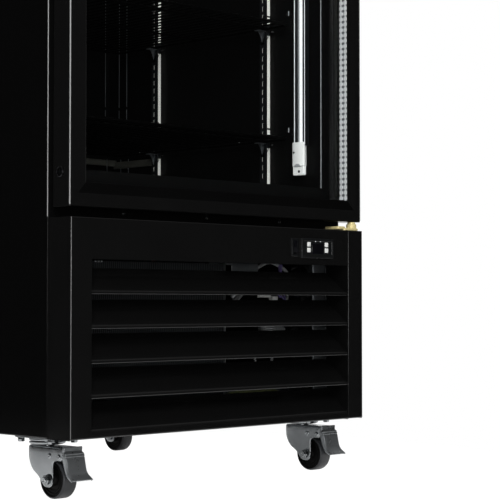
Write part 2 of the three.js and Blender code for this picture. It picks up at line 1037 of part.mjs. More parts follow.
// Pilasters: slotted channels on the side walls, with the clips that the shelves lie on
function buildPilasters() {
  const low = innerFloor + pilasterFloorGap;
  const high = shelfHeights[shelfHeights.length - 1] + pilasterSlotPitch * 2;
  for (const [sideName, side] of [
    ["left", -1],
    ["right", 1],
  ]) {
    for (const [rowName, y] of [
      ["front", bodyFront + pilasterFrontGap],
      ["rear", innerBack - pilasterBackGap],
    ]) {
      const wall = side * (innerHalf - seatGap);
      const face = wall - side * pilasterDepth;
      const inside = face + side * pilasterGauge;
      const across = (a, b) => [Math.min(a, b), Math.max(a, b)];
      let strip = blockSolid(
        ...across(face, wall),
        y - pilasterWidth / 2,
        y + pilasterWidth / 2,
        low,
        high,
      ).subtract(
        blockSolid(
          ...across(inside, wall + side * overrun),
          y - pilasterWidth / 2 + pilasterGauge,
          y + pilasterWidth / 2 - pilasterGauge,
          low - overrun,
          high + overrun,
        ),
      );
      const slots = Math.floor((high - low) / pilasterSlotPitch) - 1;
      for (let index = 0; index < slots; index += 1) {
        const z = low + pilasterSlotPitch * (index + 1);
        strip = strip.subtract(
          blockSolid(
            ...across(face - side * overrun, inside + side * pilasterGauge),
            y - pilasterSlotWidth / 2,
            y + pilasterSlotWidth / 2,
            z - pilasterSlotHeight / 2,
            z + pilasterSlotHeight / 2,
          ),
        );
      }
      for (const shelf of shelfHeights) {
        const top = shelf - seatGap;
        const tip = face - side * clipReach;
        const clip = outlineOf([
          [inside, top],
          [tip, top],
          [tip, top - clipGauge],
          [inside, top - clipHeight],
        ]);
        strip = strip.add(solid(slabY(clip, y - clipWidth / 2, y + clipWidth / 2)));
      }
      addPiece(`pilaster_${rowName}_${sideName}`, geometryOf(strip), aluminium());
    }
  }
}

// Wire shelves: a rod all round, wires front to back, and cross rods under them
function buildShelves() {
  const half = innerHalf - shelfSideGap;
  const front = bodyFront + shelfFrontGap;
  const back = innerBack - ductStand - shelfBackGap;
  shelfHeights.forEach((z, index) => {
    const rodLow = z;
    const rodHigh = z + shelfRod;
    const wireHigh = rodHigh - shelfWireSink;
    let shelf = blockSolid(-half, half, front, back, rodLow, rodHigh).subtract(
      blockSolid(
        -half + shelfRod,
        half - shelfRod,
        front + shelfRod,
        back - shelfRod,
        rodLow - overrun,
        rodHigh + overrun,
      ),
    );
    for (let wire = 1; wire <= shelfWireCount; wire += 1) {
      const x = -half + (2 * half * wire) / (shelfWireCount + 1);
      shelf = shelf.add(
        blockSolid(
          x - shelfWire / 2,
          x + shelfWire / 2,
          front + shelfWire,
          back - shelfWire,
          wireHigh - shelfWire,
          wireHigh,
        ),
      );
    }
    for (let cross = 1; cross <= shelfCrossCount; cross += 1) {
      const y = front + ((back - front) * cross) / (shelfCrossCount + 1);
      shelf = shelf.add(
        blockSolid(
          -half + shelfWire,
          half - shelfWire,
          y - shelfWire,
          y + shelfWire,
          rodLow + shelfWireSink,
          wireHigh - shelfWire / 2,
        ),
      );
    }
    addPiece(`wire_shelf_${index + 1}`, geometryOf(shelf), blackSteel());
  });
}

// Lamp: an upright channel with end caps on the right wall, and its light cover
function buildLamp() {
  const wall = innerHalf - seatGap;
  const face = wall - lampDepth;
  const low = innerFloor + lampFloorGap;
  const high = innerCeiling - lampTopGap;
  const lampY = bodyFront + lampSetBack;
  let channel = blockSolid(
    face,
    wall,
    lampY - lampWidth / 2,
    lampY + lampWidth / 2,
    low,
    high,
  );
  for (const z of [low, high - lampCap]) {
    channel = channel.add(
      blockSolid(
        face - lampCapLap - lampCoverRise,
        wall,
        lampY - lampWidth / 2 - lampCapLap,
        lampY + lampWidth / 2 + lampCapLap,
        z,
        z + lampCap,
      ),
    );
  }
  addPiece("lamp_channel", geometryOf(channel), whitePlastic());
  const cover = block(
    face - seatGap - lampCoverRise,
    face - seatGap,
    lampY - lampCoverWidth / 2,
    lampY + lampCoverWidth / 2,
    low + lampCap + seatGap,
    high - lampCap - seatGap,
  );
  addPiece("lamp_cover", cover, whitePlastic());
}

// Rear duct panel: a sheet that stands off the back wall, with upright ribs and a lower lip
function buildDuctPanel() {
  const half = innerHalf - ductSideGap;
  const front = innerBack - ductStand;
  const low = innerFloor + ductFloorGap;
  const high = innerCeiling - evaporatorHeight - ductTopGap;
  const wall = innerBack - seatGap;
  let panel = blockSolid(-half, half, front, front + ductGauge, low, high)
    .add(blockSolid(-half, half, front, wall, low, low + ductGauge))
    .add(blockSolid(-half, half, front, wall, high - ductGauge, high));
  for (let index = 0; index < ductRibCount; index += 1) {
    const x = -half + (2 * half * (index + 0.5)) / ductRibCount;
    panel = panel.add(
      blockSolid(
        x - ductRibWidth / 2,
        x + ductRibWidth / 2,
        front - ductRibRise,
        front + ductGauge,
        low,
        high,
      ),
    );
  }
  addPiece("rear_duct_panel", geometryOf(panel), linerBlack());
}

// A fan with flat tilted blades about an axis along Z, its hub from zero upwards
function fanShape(tipRadius) {
  let fan = barSolid("z", [0, 0, 0], fanHubRadius, fanHubLength, roundFacets);
  for (let index = 0; index < fanBladeCount; index += 1) {
    const reach = tipRadius - fanHubRadius + fanBladeGauge;
    const blade = new THREE.BoxGeometry(reach, fanHubLength / Math.sin(bladeTilt), fanBladeGauge);
    blade.rotateX(bladeTilt);
    blade.translate(fanHubRadius - fanBladeGauge + reach / 2, 0, fanHubLength / 2);
    blade.rotateZ((Math.PI * 2 * index) / fanBladeCount);
    fan = fan.add(solid(blade));
  }
  return fan.intersect(barSolid("z", [0, 0, 0], tipRadius, fanHubLength, roundFacets));
}

const bladeTilt = THREE.MathUtils.degToRad(fanBladeTilt);

// A motor over a round opening in a sheet: arms reach out from its far end to posts on the sheet.
// The sheet's near face is at zero along Z, the motor starts at the stand-off, and its shaft
// reaches back to the fan's hub.
function motorShape(openingRadius, standOff) {
  const high = standOff + motorLength;
  const shaftLow = standOff - motorGap + seatGap;
  let motor = barSolid("z", [0, 0, standOff], motorRadius, motorLength, roundFacets).add(
    barSolid("z", [0, 0, shaftLow], shaftRadius, motorGap - seatGap + motorArmGauge, boltFacets),
  );
  for (let index = 0; index < motorArmCount; index += 1) {
    const angle = (Math.PI * 2 * index) / motorArmCount + Math.PI / 2;
    const reach = openingRadius + motorArm;
    const arm = new THREE.BoxGeometry(reach, motorArm, motorArmGauge);
    arm.translate(reach / 2, 0, high - motorArmGauge / 2);
    const post = block(reach - motorArm, reach, -motorArm / 2, motorArm / 2, 0, high);
    for (const piece of [arm, post]) motor = motor.add(solid(piece.rotateZ(angle)));
  }
  return motor;
}

// Evaporator: a housing under the ceiling, with its motor over a round mouth, coil and fan inside
function buildEvaporator() {
  const half = innerHalf - evaporatorSideGap;
  const back = innerBack - evaporatorBackGap;
  const front = back - evaporatorDepth;
  const high = innerCeiling - seatGap;
  const low = high - evaporatorHeight;
  const fanY = front + evaporatorFanInset;
  const mouth = evaporatorFanRadius + fanTipGap;
  const standOff = evaporatorWall + fanHubLength + motorGap;
  const motor = motorShape(mouth, standOff).translate([0, fanY, low]);
  const housing = blockSolid(-half, half, front, back, low, high)
    .subtract(
      blockSolid(
        -half + evaporatorWall,
        half - evaporatorWall,
        front + evaporatorWall,
        back - evaporatorWall,
        low + evaporatorWall,
        high + overrun,
      ),
    )
    .subtract(
      barSolid("z", [0, fanY, low - overrun], mouth, evaporatorWall + 2 * overrun, roundFacets),
    )
    .add(motor);
  addPiece("evaporator_housing", geometryOf(housing), whitePlastic());
  const fan = fanShape(evaporatorFanRadius).translate([0, fanY, low + evaporatorWall]);
  addPiece("evaporator_fan", geometryOf(fan), blackPlastic());

  const coilHalf = half - evaporatorWall - seatGap;
  const coilBack = back - evaporatorWall - seatGap;
  const coilLow = low + evaporatorWall + seatGap;
  const coil = finBlock(coilHalf * 2, coilDepth, coilFinPitch, coilFin, coilCoreShare);
  const pushed = slabZ(coil, coilLow, coilLow + coilHeight);
  pushed.translate(-coilHalf, coilBack - coilDepth, 0);
  addPiece("evaporator_coil", pushed, aluminium());
}

// The outline of a finned coil from above: a core with fins out to its front
function finBlock(length, depth, pitch, fin, coreShare) {
  const count = Math.floor(length / pitch);
  const step = length / count;
  const core = depth * (1 - coreShare);
  const points = [
    [length, core],
    [length, depth],
    [0, depth],
    [0, core],
  ];
  for (let index = 0; index < count; index += 1) {
    const x = step * (index + 0.5);
    points.push([x - fin / 2, core], [x - fin / 2, 0], [x + fin / 2, 0], [x + fin / 2, core]);
  }
  return outlineOf(points);
}

const condenserRight = halfWidth - condenserRightGap;

// Condenser coil behind the louvres, its shroud with the motor, and the fan
function buildCondenser() {
  const left = -halfWidth + condenserLeftGap;
  const right = condenserRight;
  const low = unitFloor + condenserRise;
  const high = low + condenserHeight;
  const front = bodyFront + condenserSetBack;
  const back = front + condenserDepth;
  const inner = right - left - 2 * condenserPlate;
  const fins = slabZ(
    finBlock(inner, condenserDepth, condenserFinPitch, condenserFin, coilCoreShare),
    low + condenserPlate,
    high - condenserPlate,
  );
  fins.translate(left + condenserPlate, front, 0);
  let coil = solid(fins);
  for (const x of [left, right - condenserPlate]) {
    coil = coil.add(blockSolid(x, x + condenserPlate, front, back, unitFloor, high));
  }
  coil = coil.add(
    blockSolid(
      left + condenserPlate / 2,
      right - condenserPlate / 2,
      back - condenserPlate,
      back,
      low,
      high,
    ),
  );
  addPiece("condenser_coil", geometryOf(coil), aluminium());

  const fanX = (left + right) / 2;
  const fanZ = (low + high) / 2;
  const shroudFront = back + shroudGap;
  const shroudBack = shroudFront + shroudDepth;
  const mouth = condenserFanRadius + fanTipGap;
  const motor = motorShape(mouth, shroudWall + motorGap)
    .rotate([-90, 0, 0])
    .translate([fanX, shroudBack - shroudWall, fanZ]);
  const shroud = blockSolid(left, right, back + seatGap, shroudBack, unitFloor, high)
    .subtract(
      blockSolid(
        left + shroudWall,
        right - shroudWall,
        back - overrun,
        shroudBack - shroudWall,
        unitFloor + shroudWall,
        high - shroudWall,
      ),
    )
    .subtract(
      barSolid(
        "y",
        [fanX, shroudBack - overrun, fanZ],
        mouth,
        2 * overrun,
        roundFacets,
      ),
    )
    .add(motor);
  addPiece("condenser_shroud", geometryOf(shroud), blackSteel());

  const fan = fanShape(condenserFanRadius)
    .rotate([90, 0, 0])
    .translate([fanX, shroudBack, fanZ]);
  addPiece("condenser_fan", geometryOf(fan), aluminium());
}

const compressorX = halfWidth - compressorRightGap;
const compressorY = bodyBack - compressorBackGap;

// Compressor: a welded steel shell on a foot plate
function buildCompressor() {
  const low = unitFloor + compressorFootHeight;
  const height = compressorHeight - compressorFootHeight;
  const shellShares = [
    [0, 0],
    [0.7, 0.02],
    [0.93, 0.12],
    [1, 0.25],
    [1, 0.55],
    [0.97, 0.6],
    [0.97, 0.75],
    [0.85, 0.9],
    [0.55, 0.98],
    [0, 1],
  ];
  const profile = shellShares.map(
    ([r, h]) => new THREE.Vector2(r * compressorRadius, low + h * height),
  );
  const shell = new THREE.LatheGeometry(profile, roundFacets);
  shell.rotateX(Math.PI / 2);
  const spread = compressorFootSpread / 2;
  const deep = compressorFootDepth / 2;
  const plateTop = low + compressorFootGauge + compressorFootHeight / 2;
  let body = solid(shell).add(
    blockSolid(-spread, spread, -deep, deep, plateTop - compressorFootGauge, plateTop),
  );
  for (const x of [-1, 1]) {
    for (const y of [-1, 1]) {
      body = body.add(
        barSolid(
          "z",
          [
            x * (spread - 2 * boltRadius),
            y * (deep - 2 * boltRadius),
            unitFloor,
          ],
          2 * boltRadius,
          plateTop - unitFloor,
        ),
      );
    }
  }
  body = body.translate([compressorX, compressorY, 0]);
  addPiece("compressor", geometryOf(body), blackSteel());
}

// Refrigerant lines: hot gas to the condenser, and the suction line down from the deck
function buildLines() {
  const shellRight = compressorX + compressorRadius + seatGap;
  const coilRight = condenserRight + seatGap;
  const shellFront = compressorY - compressorRadius - seatGap;
  const midZ = unitFloor + compressorHeight / 2;
  const highZ = unitFloor + condenserRise + condenserHeight - lineBend;
  const coilY = bodyFront + condenserSetBack + condenserDepth / 2;
  addPiece(
    "discharge_line",
    tubeAlong(
      [
        [compressorX, shellFront, midZ],
        [compressorX, shellFront - lineBend, midZ],
        [compressorX, coilY + 2 * lineBend, highZ - lineBend],
        [compressorX - lineBend, coilY, highZ],
        [coilRight + lineBend, coilY, highZ],
        [coilRight, coilY, highZ],
      ],
      lineRadius,
      dischargeSteps,
    ),
    copper(),
  );
  const deck = baseTop - seatGap;
  addPiece(
    "suction_line",
    tubeAlong(
      [
        [shellRight, compressorY, midZ],
        [shellRight + lineBend / 2, compressorY, midZ],
        [shellRight + lineBend / 2, compressorY + lineBend, midZ + lineBend],
        [shellRight, compressorY + 2 * lineBend, deck - lineBend],
        [shellRight, compressorY + 2 * lineBend, deck],
      ],
      lineRadius,
      suctionSteps,
    ),
    copper(),
  );
}

// Electrical box beside the stile, and the condensate pan at the back
function buildBoxAndPan() {
  const right = halfWidth - skinGauge - boxSideGap;
  const front = bodyFront + floorGauge + boxFrontGap;
  const low = floorTop + runnerHeight + seatGap;
  addPiece(
    "electrical_box",
    block(right - boxWidth, right, front, front + boxDepth, low, low + boxHeight),
    greyPlastic(),
  );
  const panLeft = -halfWidth + panSideGap;
  const panBack = bodyBack - runnerWidth - panBackGap;
  const pan = blockSolid(
    panLeft,
    panLeft + panWidth,
    panBack - panDepth,
    panBack,
    unitFloor,
    unitFloor + panHeight,
  ).subtract(
    blockSolid(
      panLeft + panWall,
      panLeft + panWidth - panWall,
      panBack - panDepth + panWall,
      panBack - panWall,
      unitFloor + panWall,
      unitFloor + panHeight + overrun,
    ),
  );
  addPiece("condensate_pan", geometryOf(pan), blackPlastic());
}

// Casters. Each is drawn about its swivel axis, with the wheel trailing towards the front.
const forkTop = casterHeight - forkTopDrop;
const forkCrown = forkTop - forkGauge;
const plateLow = casterHeight - seatGap - plateGauge;
const raceLow = forkTop + seatGap;
const axleZ = wheelRadius;
const forkArchTop = axleZ + forkArchRise;
const pedalPivotHeight = forkTop - pedalPivotDrop;

function buildPlate(name, place) {
  let plate = blockSolid(
    -plateWidth / 2,
    plateWidth / 2,
    -plateLength / 2,
    plateLength / 2,
    plateLow,
    plateLow + plateGauge,
  ).add(
    barSolid("z", [0, 0, raceLow], raceRadius, plateLow + plateGauge - raceLow, roundFacets),
  );
  plate = plate.add(
    barSolid(
      "z",
      [0, 0, forkCrown - forkGauge],
      kingpinRadius,
      plateLow - forkCrown + forkGauge,
    ),
  );
  for (const x of [-1, 1]) {
    for (const y of [-1, 1]) {
      plate = plate.add(
        barSolid(
          "z",
          [(x * boltSpacingWide) / 2, (y * boltSpacingLong) / 2, plateLow - boltHead],
          boltRadius,
          boltHead + plateGauge,
          boltFacets,
        ),
      );
    }
  }
  addPiece(name, geometryOf(plate), zinc(), cabinet, place);
}

function buildFork(name, place) {
  const outline = new THREE.Shape();
  outline.moveTo(-forkFront, forkTop);
  outline.lineTo(-forkFront, forkTop - forkFrontDrop);
  outline.lineTo(-forkFront + forkLegRadius, forkArchTop);
  outline.lineTo(-wheelTrail - forkLegRadius, forkArchTop);
  outline.lineTo(-wheelTrail - forkLegRadius, axleZ);
  outline.absarc(-wheelTrail, axleZ, forkLegRadius, Math.PI, Math.PI * 2, false);
  outline.quadraticCurveTo(forkRear, forkArchTop, forkRear, forkTop);
  const cavity = blockSolid(
    -forkHalfWidth + forkGauge,
    forkHalfWidth - forkGauge,
    -forkFront - overrun,
    forkRear + overrun,
    -overrun,
    forkCrown,
  );
  let fork = solid(slabX(outline, -forkHalfWidth, forkHalfWidth, legFacets))
    .subtract(cavity)
    .subtract(
      barSolid(
        "z",
        [0, 0, forkCrown - overrun],
        kingpinRadius + axleClearance,
        forkGauge + 2 * overrun,
      ),
    )
    .subtract(
      barSolid(
        "x",
        [-forkHalfWidth - overrun, -pedalPivotAhead, pedalPivotHeight],
        pedalPinRadius + axleClearance,
        2 * (forkHalfWidth + overrun),
      ),
    );
  fork = fork.add(
    barSolid(
      "x",
      [-forkHalfWidth - axleHeadLength, -wheelTrail, axleZ],
      axleRadius,
      2 * (forkHalfWidth + axleHeadLength),
    ),
  );
  for (const x of [-forkHalfWidth - axleHeadLength, forkHalfWidth]) {
    fork = fork.add(
      barSolid("x", [x, -wheelTrail, axleZ], axleHeadRadius, axleHeadLength, boltFacets),
    );
  }
  addPiece(name, geometryOf(fork), zinc(), cabinet, place);
}

function buildWheel(name, place) {
  const half = wheelWidth / 2;
  const boss = forkHalfWidth - forkGauge - runningGap;
  const inner = axleRadius + axleClearance;
  const bevel = wheelBevel;
  const profile = [
    [inner, -boss],
    [wheelHubRadius, -half],
    [wheelRadius - bevel, -half],
    [wheelRadius, -half + bevel],
    [wheelRadius, half - bevel],
    [wheelRadius - bevel, half],
    [wheelHubRadius, half],
    [inner, boss],
    [inner, -boss],
  ].map(([r, x]) => new THREE.Vector2(r, x));
  const wheel = new THREE.LatheGeometry(profile, wheelFacets);
  wheel.rotateZ(-Math.PI / 2);
  wheel.translate(0, -wheelTrail, axleZ);
  addPiece(name, wheel, wheelRubber(), cabinet, place);
}

// Brake pedal: an S bent sheet in front of the fork, on two cheeks and a cross pin
function buildPedal(name, place) {
  const outer = pedalBendShares.map(([ahead, fall]) => [
    -pedalAhead - ahead * pedalReach,
    forkTop - pedalTopDrop - fall * pedalFall,
  ]);
  const inner = outer.map(([y, z]) => [y + pedalGauge, z - pedalGauge / 2]).reverse();
  const sheet = solid(slabX(outlineOf([...outer, ...inner]), -pedalHalfWidth, pedalHalfWidth));
  const cheekOutline = outlineOf([
    [outer[0][0] + pedalGauge / 2, forkCrown - runningGap - pedalGauge],
    [outer[2][0] + pedalGauge / 2, outer[2][1]],
    [-pedalPivotAhead - pedalPinRadius, pedalPivotHeight - 2 * pedalPinRadius],
    [-pedalPivotAhead + 2 * pedalPinRadius, pedalPivotHeight - 2 * pedalPinRadius],
    [-pedalPivotAhead + 2 * pedalPinRadius, pedalPivotHeight + 2 * pedalPinRadius],
  ]);
  let pedal = sheet;
  const cheekOuter = forkHalfWidth - forkGauge - runningGap;
  for (const side of [-1, 1]) {
    const x0 = side * cheekOuter;
    const x1 = side * (cheekOuter - pedalCheekGauge);
    pedal = pedal.add(solid(slabX(cheekOutline, Math.min(x0, x1), Math.max(x0, x1))));
  }
  pedal = pedal.add(
    barSolid(
      "x",
      [-forkHalfWidth - runningGap, -pedalPivotAhead, pedalPivotHeight],
      pedalPinRadius,
      2 * (forkHalfWidth + runningGap),
    ),
  );
  addPiece(name, geometryOf(pedal), zinc(), cabinet, place);
}

function buildCasters() {
  const sideX = halfWidth - casterSideInset;
  const rearY = bodyBack - rearCasterInset;
  for (const [rowName, y] of [
    ["front", bodyFront + frontCasterInset],
    ["rear", rearY],
  ]) {
    for (const [sideName, x] of [
      ["left", -sideX],
      ["right", sideX],
    ]) {
      const place = [x, y, 0];
      const tail = `${rowName}_${sideName}`;
      buildPlate(`caster_plate_${tail}`, place);
      buildFork(`caster_fork_${tail}`, place);
      buildWheel(`caster_wheel_${tail}`, place);
      if (rowName === "front") buildPedal(`brake_pedal_${sideName}`, place);
    }
  }
}

buildOuterCase();
buildLiner();
buildInsulation();
buildHeader();
buildLouvrePanel();
buildHingeStile();
buildBaseFloor();
buildRearGrille();
buildController();
buildSwitch();
buildDoorFrame();
buildGlazing();
buildGasket();
buildLock();
buildHandle();
buildHinges();
buildPilasters();
buildShelves();
buildLamp();
buildDuctPanel();
buildEvaporator();
buildCondenser();
buildCompressor();
buildLines();
buildBoxAndPan();
buildCasters();

export default cabinet;
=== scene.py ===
import json
import math

import bmesh
import bpy
import numpy as np
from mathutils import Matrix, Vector


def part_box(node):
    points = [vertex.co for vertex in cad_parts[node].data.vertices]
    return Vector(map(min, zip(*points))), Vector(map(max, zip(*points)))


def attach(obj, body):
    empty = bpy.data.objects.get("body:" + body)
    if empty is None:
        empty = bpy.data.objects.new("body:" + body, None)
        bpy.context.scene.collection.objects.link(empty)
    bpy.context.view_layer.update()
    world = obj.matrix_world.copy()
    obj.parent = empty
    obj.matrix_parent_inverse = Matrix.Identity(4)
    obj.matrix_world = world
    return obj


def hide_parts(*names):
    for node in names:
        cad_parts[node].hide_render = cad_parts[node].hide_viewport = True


bl_info = {
    "name": "Refrigerated display case",
    "version": (1, 0, 0),
    "blender": (4, 5, 0),
    "location": "3D View > Sidebar > Display case",
    "description": "Dresses the display case: cabinet, door, store, controls, unit and casters",
    "category": "Object",
}

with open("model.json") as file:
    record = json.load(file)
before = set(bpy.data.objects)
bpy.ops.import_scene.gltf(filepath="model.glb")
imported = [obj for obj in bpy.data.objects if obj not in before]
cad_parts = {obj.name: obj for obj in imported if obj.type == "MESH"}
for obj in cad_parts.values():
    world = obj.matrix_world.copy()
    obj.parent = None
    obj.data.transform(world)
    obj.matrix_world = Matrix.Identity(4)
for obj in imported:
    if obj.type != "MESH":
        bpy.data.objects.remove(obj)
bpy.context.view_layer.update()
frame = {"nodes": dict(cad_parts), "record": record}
MM = 0.001
CORNERS = ("front_left", "front_right", "rear_left", "rear_right")
SHELVES = (1, 2, 3, 4)
KEYS = (1, 2, 3, 4)

# Gauges of sheets and half widths of openings, in millimetres
PLATE_GAUGE = 1.2
FORK_GAUGE = 2.2
PEDAL_GAUGE = 1.6
LOUVRE_HALF = 301.6
STORE_HALF = 294.7
LINER_WALL = 294.4
LINER_REAR = 306.5


def low(node):
    """Lowest corner of a CAD node, in millimetres"""
    return np.array(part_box(node)[0]) / MM


def high(node):
    """Highest corner of a CAD node, in millimetres"""
    return np.array(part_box(node)[1]) / MM


def ends(node):
    """Lowest and highest corner of a CAD node, in millimetres"""
    return low(node), high(node)


# Shapes. A form is an array of points in millimetres and a list of faces.


def outward(form):
    """A closed form whose faces point outwards: where the volume under its faces is negative, all
    are turned"""
    points, faces = form
    volume = 0.0
    for size in {len(face) for face in faces}:
        index = np.array([face for face in faces if len(face) == size])
        first = points[index[:, 0]]
        for k in range(1, size - 1):
            normal = np.cross(points[index[:, k]], points[index[:, k + 1]])
            volume += np.einsum("ij,ij->i", first, normal).sum()
    return (points, [face[::-1] for face in faces]) if volume < 0 else form


def grid(points, loop_u=False, loop_v=False, caps=False):
    """A surface over points[u, v]: each cell is one face, a loop joins the last row to the first,
    and caps close the first and last row of u with one face each"""
    rows, columns = points.shape[:2]
    index = np.arange(rows * columns).reshape(rows, columns)
    u = np.arange(rows if loop_u else rows - 1)
    v = np.arange(columns if loop_v else columns - 1)
    u2, v2 = (u + 1) % rows, (v + 1) % columns
    cells = np.stack([index[np.ix_(a, b)] for a, b in ((u, v), (u2, v), (u2, v2), (u, v2))], -1)
    faces = cells.reshape(-1, 4).tolist()
    if caps:
        faces += [index[0].tolist(), index[-1][::-1].tolist()]
    return outward((points.reshape(-1, 3).astype(float), faces))


def joined(forms):
    """Several forms as one: points one after another, faces counted on"""
    points, faces, start = [], [], 0
    for form_points, form_faces in forms:
        points.append(form_points)
        faces += [[start + i for i in face] for face in form_faces]
        start += len(form_points)
    return np.concatenate(points), faces


def moved(form, offset):
    """A form shifted by an offset"""
    return form[0] + np.array(offset, float), form[1]


def half_turned(form):
    """A form turned by half a turn about the upright axis: x and y change their signs"""
    c, s = math.cos(math.pi), math.sin(math.pi)
    p = form[0]
    return np.column_stack([c * p[:, 0] - s * p[:, 1], s * p[:, 0] + c * p[:, 1], p[:, 2]]), form[1]


def round_rectangle(width, height, radius, steps=4):
    """Outline of a rectangle about zero with round corners: each corner's centre plus a quarter
    circle"""
    quarters = [np.linspace(q, q + 90, steps + 1) for q in (0, 90, 180, 270)]
    angle = np.concatenate(quarters) * math.pi / 180
    side = np.repeat([[1, 1], [-1, 1], [-1, -1], [1, -1]], steps + 1, axis=0)
    middle = side * [width / 2 - radius, height / 2 - radius]
    return middle + radius * np.stack([np.cos(angle), np.sin(angle)], 1)


def circle(radius, steps=24):
    """Outline of a circle about zero"""
    angle = np.arange(steps) * 2 * math.pi / steps
    return radius * np.stack([np.cos(angle), np.sin(angle)], 1)


def prism(outline, axis, start, end, bevel=0.0):
    """An outline pushed along an axis, drawn in the two axes after it in turn (y: z, x). With a
    bevel the ends draw in: the outline's points move towards its middle by the bevel over the same
    length"""
    start, end = sorted((start, end))
    outline = np.asarray(outline, float)
    k = "xyz".index(axis)
    i, j = (k + 1) % 3, (k + 2) % 3
    levels = [start, end]
    rings = [outline, outline]
    if bevel:
        middle = (outline.min(0) + outline.max(0)) / 2
        half = (outline.max(0) - outline.min(0)) / 2
        inner = middle + (outline - middle) * (half - bevel) / half
        levels = [start, start + bevel, end - bevel, end]
        rings = [inner, outline, outline, inner]
    points = np.zeros((len(levels), len(outline), 3))
    for row, (level, ring) in enumerate(zip(levels, rings)):
        points[row, :, i], points[row, :, j], points[row, :, k] = ring[:, 0], ring[:, 1], level
    return grid(points, loop_v=True, caps=True)


def slab(x0, x1, y0, y1, z0, z1, radius=0.0, axis="z", bevel=0.0, steps=3):
    """A block between two corners, with round corners about an axis and drawn-in ends"""
    size = dict(x=sorted((x0, x1)), y=sorted((y0, y1)), z=sorted((z0, z1)))
    k = "xyz".index(axis)
    a, b = size["xyz"[(k + 1) % 3]], size["xyz"[(k + 2) % 3]]
    sharp = 0.01
    outline = round_rectangle(a[1] - a[0], b[1] - b[0], max(radius, sharp), steps if radius else 1)
    return prism(outline + [(a[0] + a[1]) / 2, (b[0] + b[1]) / 2], axis, *size[axis], bevel=bevel)


def lathe(profile, axis, centre, steps=32, closed=False):
    """A profile of (radius, height) rows turned about an axis through a centre: its two ends are
    closed by flat faces, or joined to each other where the profile is closed"""
    profile = np.asarray(profile, float)
    k = "xyz".index(axis)
    i, j = (k + 1) % 3, (k + 2) % 3
    ring = circle(1.0, steps)
    points = np.zeros((len(profile), steps, 3))
    points[:, :, i] = profile[:, :1] * ring[:, 0]
    points[:, :, j] = profile[:, :1] * ring[:, 1]
    points[:, :, k] = profile[:, 1:]
    return grid(points + np.array(centre, float), loop_u=closed, loop_v=True, caps=not closed)


def sweep(path, outline, up=(0, 0, 1), closed=False):
    """An outline carried along a path: at each point it lies square to the path's direction, its
    first axis along direction x up and its second square to both"""
    path = np.asarray(path, float)
    if closed:
        direction = np.roll(path, -1, 0) - np.roll(path, 1, 0)
    else:
        direction = np.gradient(path, axis=0)
    direction /= np.linalg.norm(direction, axis=1, keepdims=True)
    side = np.cross(direction, np.asarray(up, float))
    side /= np.linalg.norm(side, axis=1, keepdims=True)
    top = np.cross(side, direction)
    first, second = outline[None, :, :1], outline[None, :, 1:]
    points = path[:, None] + side[:, None] * first + top[:, None] * second
    return grid(points, loop_u=closed, loop_v=True, caps=not closed)


def smooth_path(points, steps=8):
    """A Catmull-Rom curve through points: each span is the cubic of its four nearest points"""
    p = np.asarray(points, float)
    p = np.concatenate([[2 * p[0] - p[1]], p, [2 * p[-1] - p[-2]]])
    t = np.linspace(0, 1, steps, endpoint=False)[:, None, None]
    a, b, c, d = p[:-3], p[1:-2], p[2:-1], p[3:]
    square, cube = 2 * a - 5 * b + 4 * c - d, 3 * b - a - 3 * c + d
    curve = 0.5 * (2 * b + (c - a) * t + square * t**2 + cube * t**3)
    return np.concatenate([curve.transpose(1, 0, 2).reshape(-1, p.shape[1]), p[-2:-1]])


def ring_frame(x0, x1, z0, z1, profile):
    """A profile of rows (inset from the sides, y, and where it differs the inset from top and
    bottom) carried round a rectangle in X and Z: the four sides meet in mitres"""
    profile = np.asarray(profile, float)
    corner = np.array([[x0, z0], [x1, z0], [x1, z1], [x0, z1]], float)
    inward = np.array([[1, 1], [-1, 1], [-1, -1], [1, -1]], float)
    insets = [0, -1 if profile.shape[1] > 2 else 0]
    flat = corner[:, None] + inward[:, None] * profile[None, :, insets]
    depth = np.broadcast_to(profile[:, 1], flat.shape[:2])
    return grid(np.stack([flat[..., 0], depth, flat[..., 1]], -1), loop_u=True, loop_v=True)


def pan(x0, x1, z0, z1, front, back, rolled="lrbt", holes=()):
    """The skin of a folded sheet, seen from the front: rows over X and Z whose depth is the larger
    of the two edges' depths. Each rolled edge goes from its flange over a quarter circle to the
    face; cells inside a hole (x0, x1, z0, z1) are left out"""
    turn = np.radians([0, 22.5, 45, 67.5, 90])
    radius = bpy.context.scene.case_sizes.fold / MM
    run, clear = 0.5, 2.5
    roll = np.column_stack([radius * (1 - np.cos(turn)), radius * (1 - np.sin(turn))])
    roll = np.concatenate([[[0, back - front], [0, radius + run]], roll, [[radius + run, 0]]])

    def rows(start, end, first, last, inner):
        head = np.column_stack([start + roll[:, 0], roll[:, 1]]) if first else [[start, 0.0]]
        tail = np.column_stack([end - roll[::-1, 0], roll[::-1, 1]]) if last else [[end, 0.0]]
        inside = [[[v, 0.0]] for v in sorted(inner) if start + clear < v < end - clear]
        return np.concatenate([head, *inside, tail])

    xs = rows(x0, x1, "l" in rolled, "r" in rolled, {h for hole in holes for h in hole[:2]})
    zs = rows(z0, z1, "b" in rolled, "t" in rolled, {h for hole in holes for h in hole[2:]})
    points = np.zeros((len(zs), len(xs), 3))
    points[..., 0] = xs[:, 0]
    points[..., 2] = zs[:, :1]
    points[..., 1] = front + np.maximum(xs[:, 1], zs[:, 1:])
    index = np.arange(len(zs) * len(xs)).reshape(len(zs), len(xs))
    cells = np.stack([index[:-1, :-1], index[:-1, 1:], index[1:, 1:], index[1:, :-1]], -1)
    x, z = (xs[1:, 0] + xs[:-1, 0]) / 2, (zs[1:, 0] + zs[:-1, 0]) / 2
    shown = np.ones(cells.shape[:2], bool)
    for hx0, hx1, hz0, hz1 in holes:
        shown &= ~(((x > hx0) & (x < hx1))[None] & ((z > hz0) & (z < hz1))[:, None])
    return points.reshape(-1, 3), cells[shown].tolist()


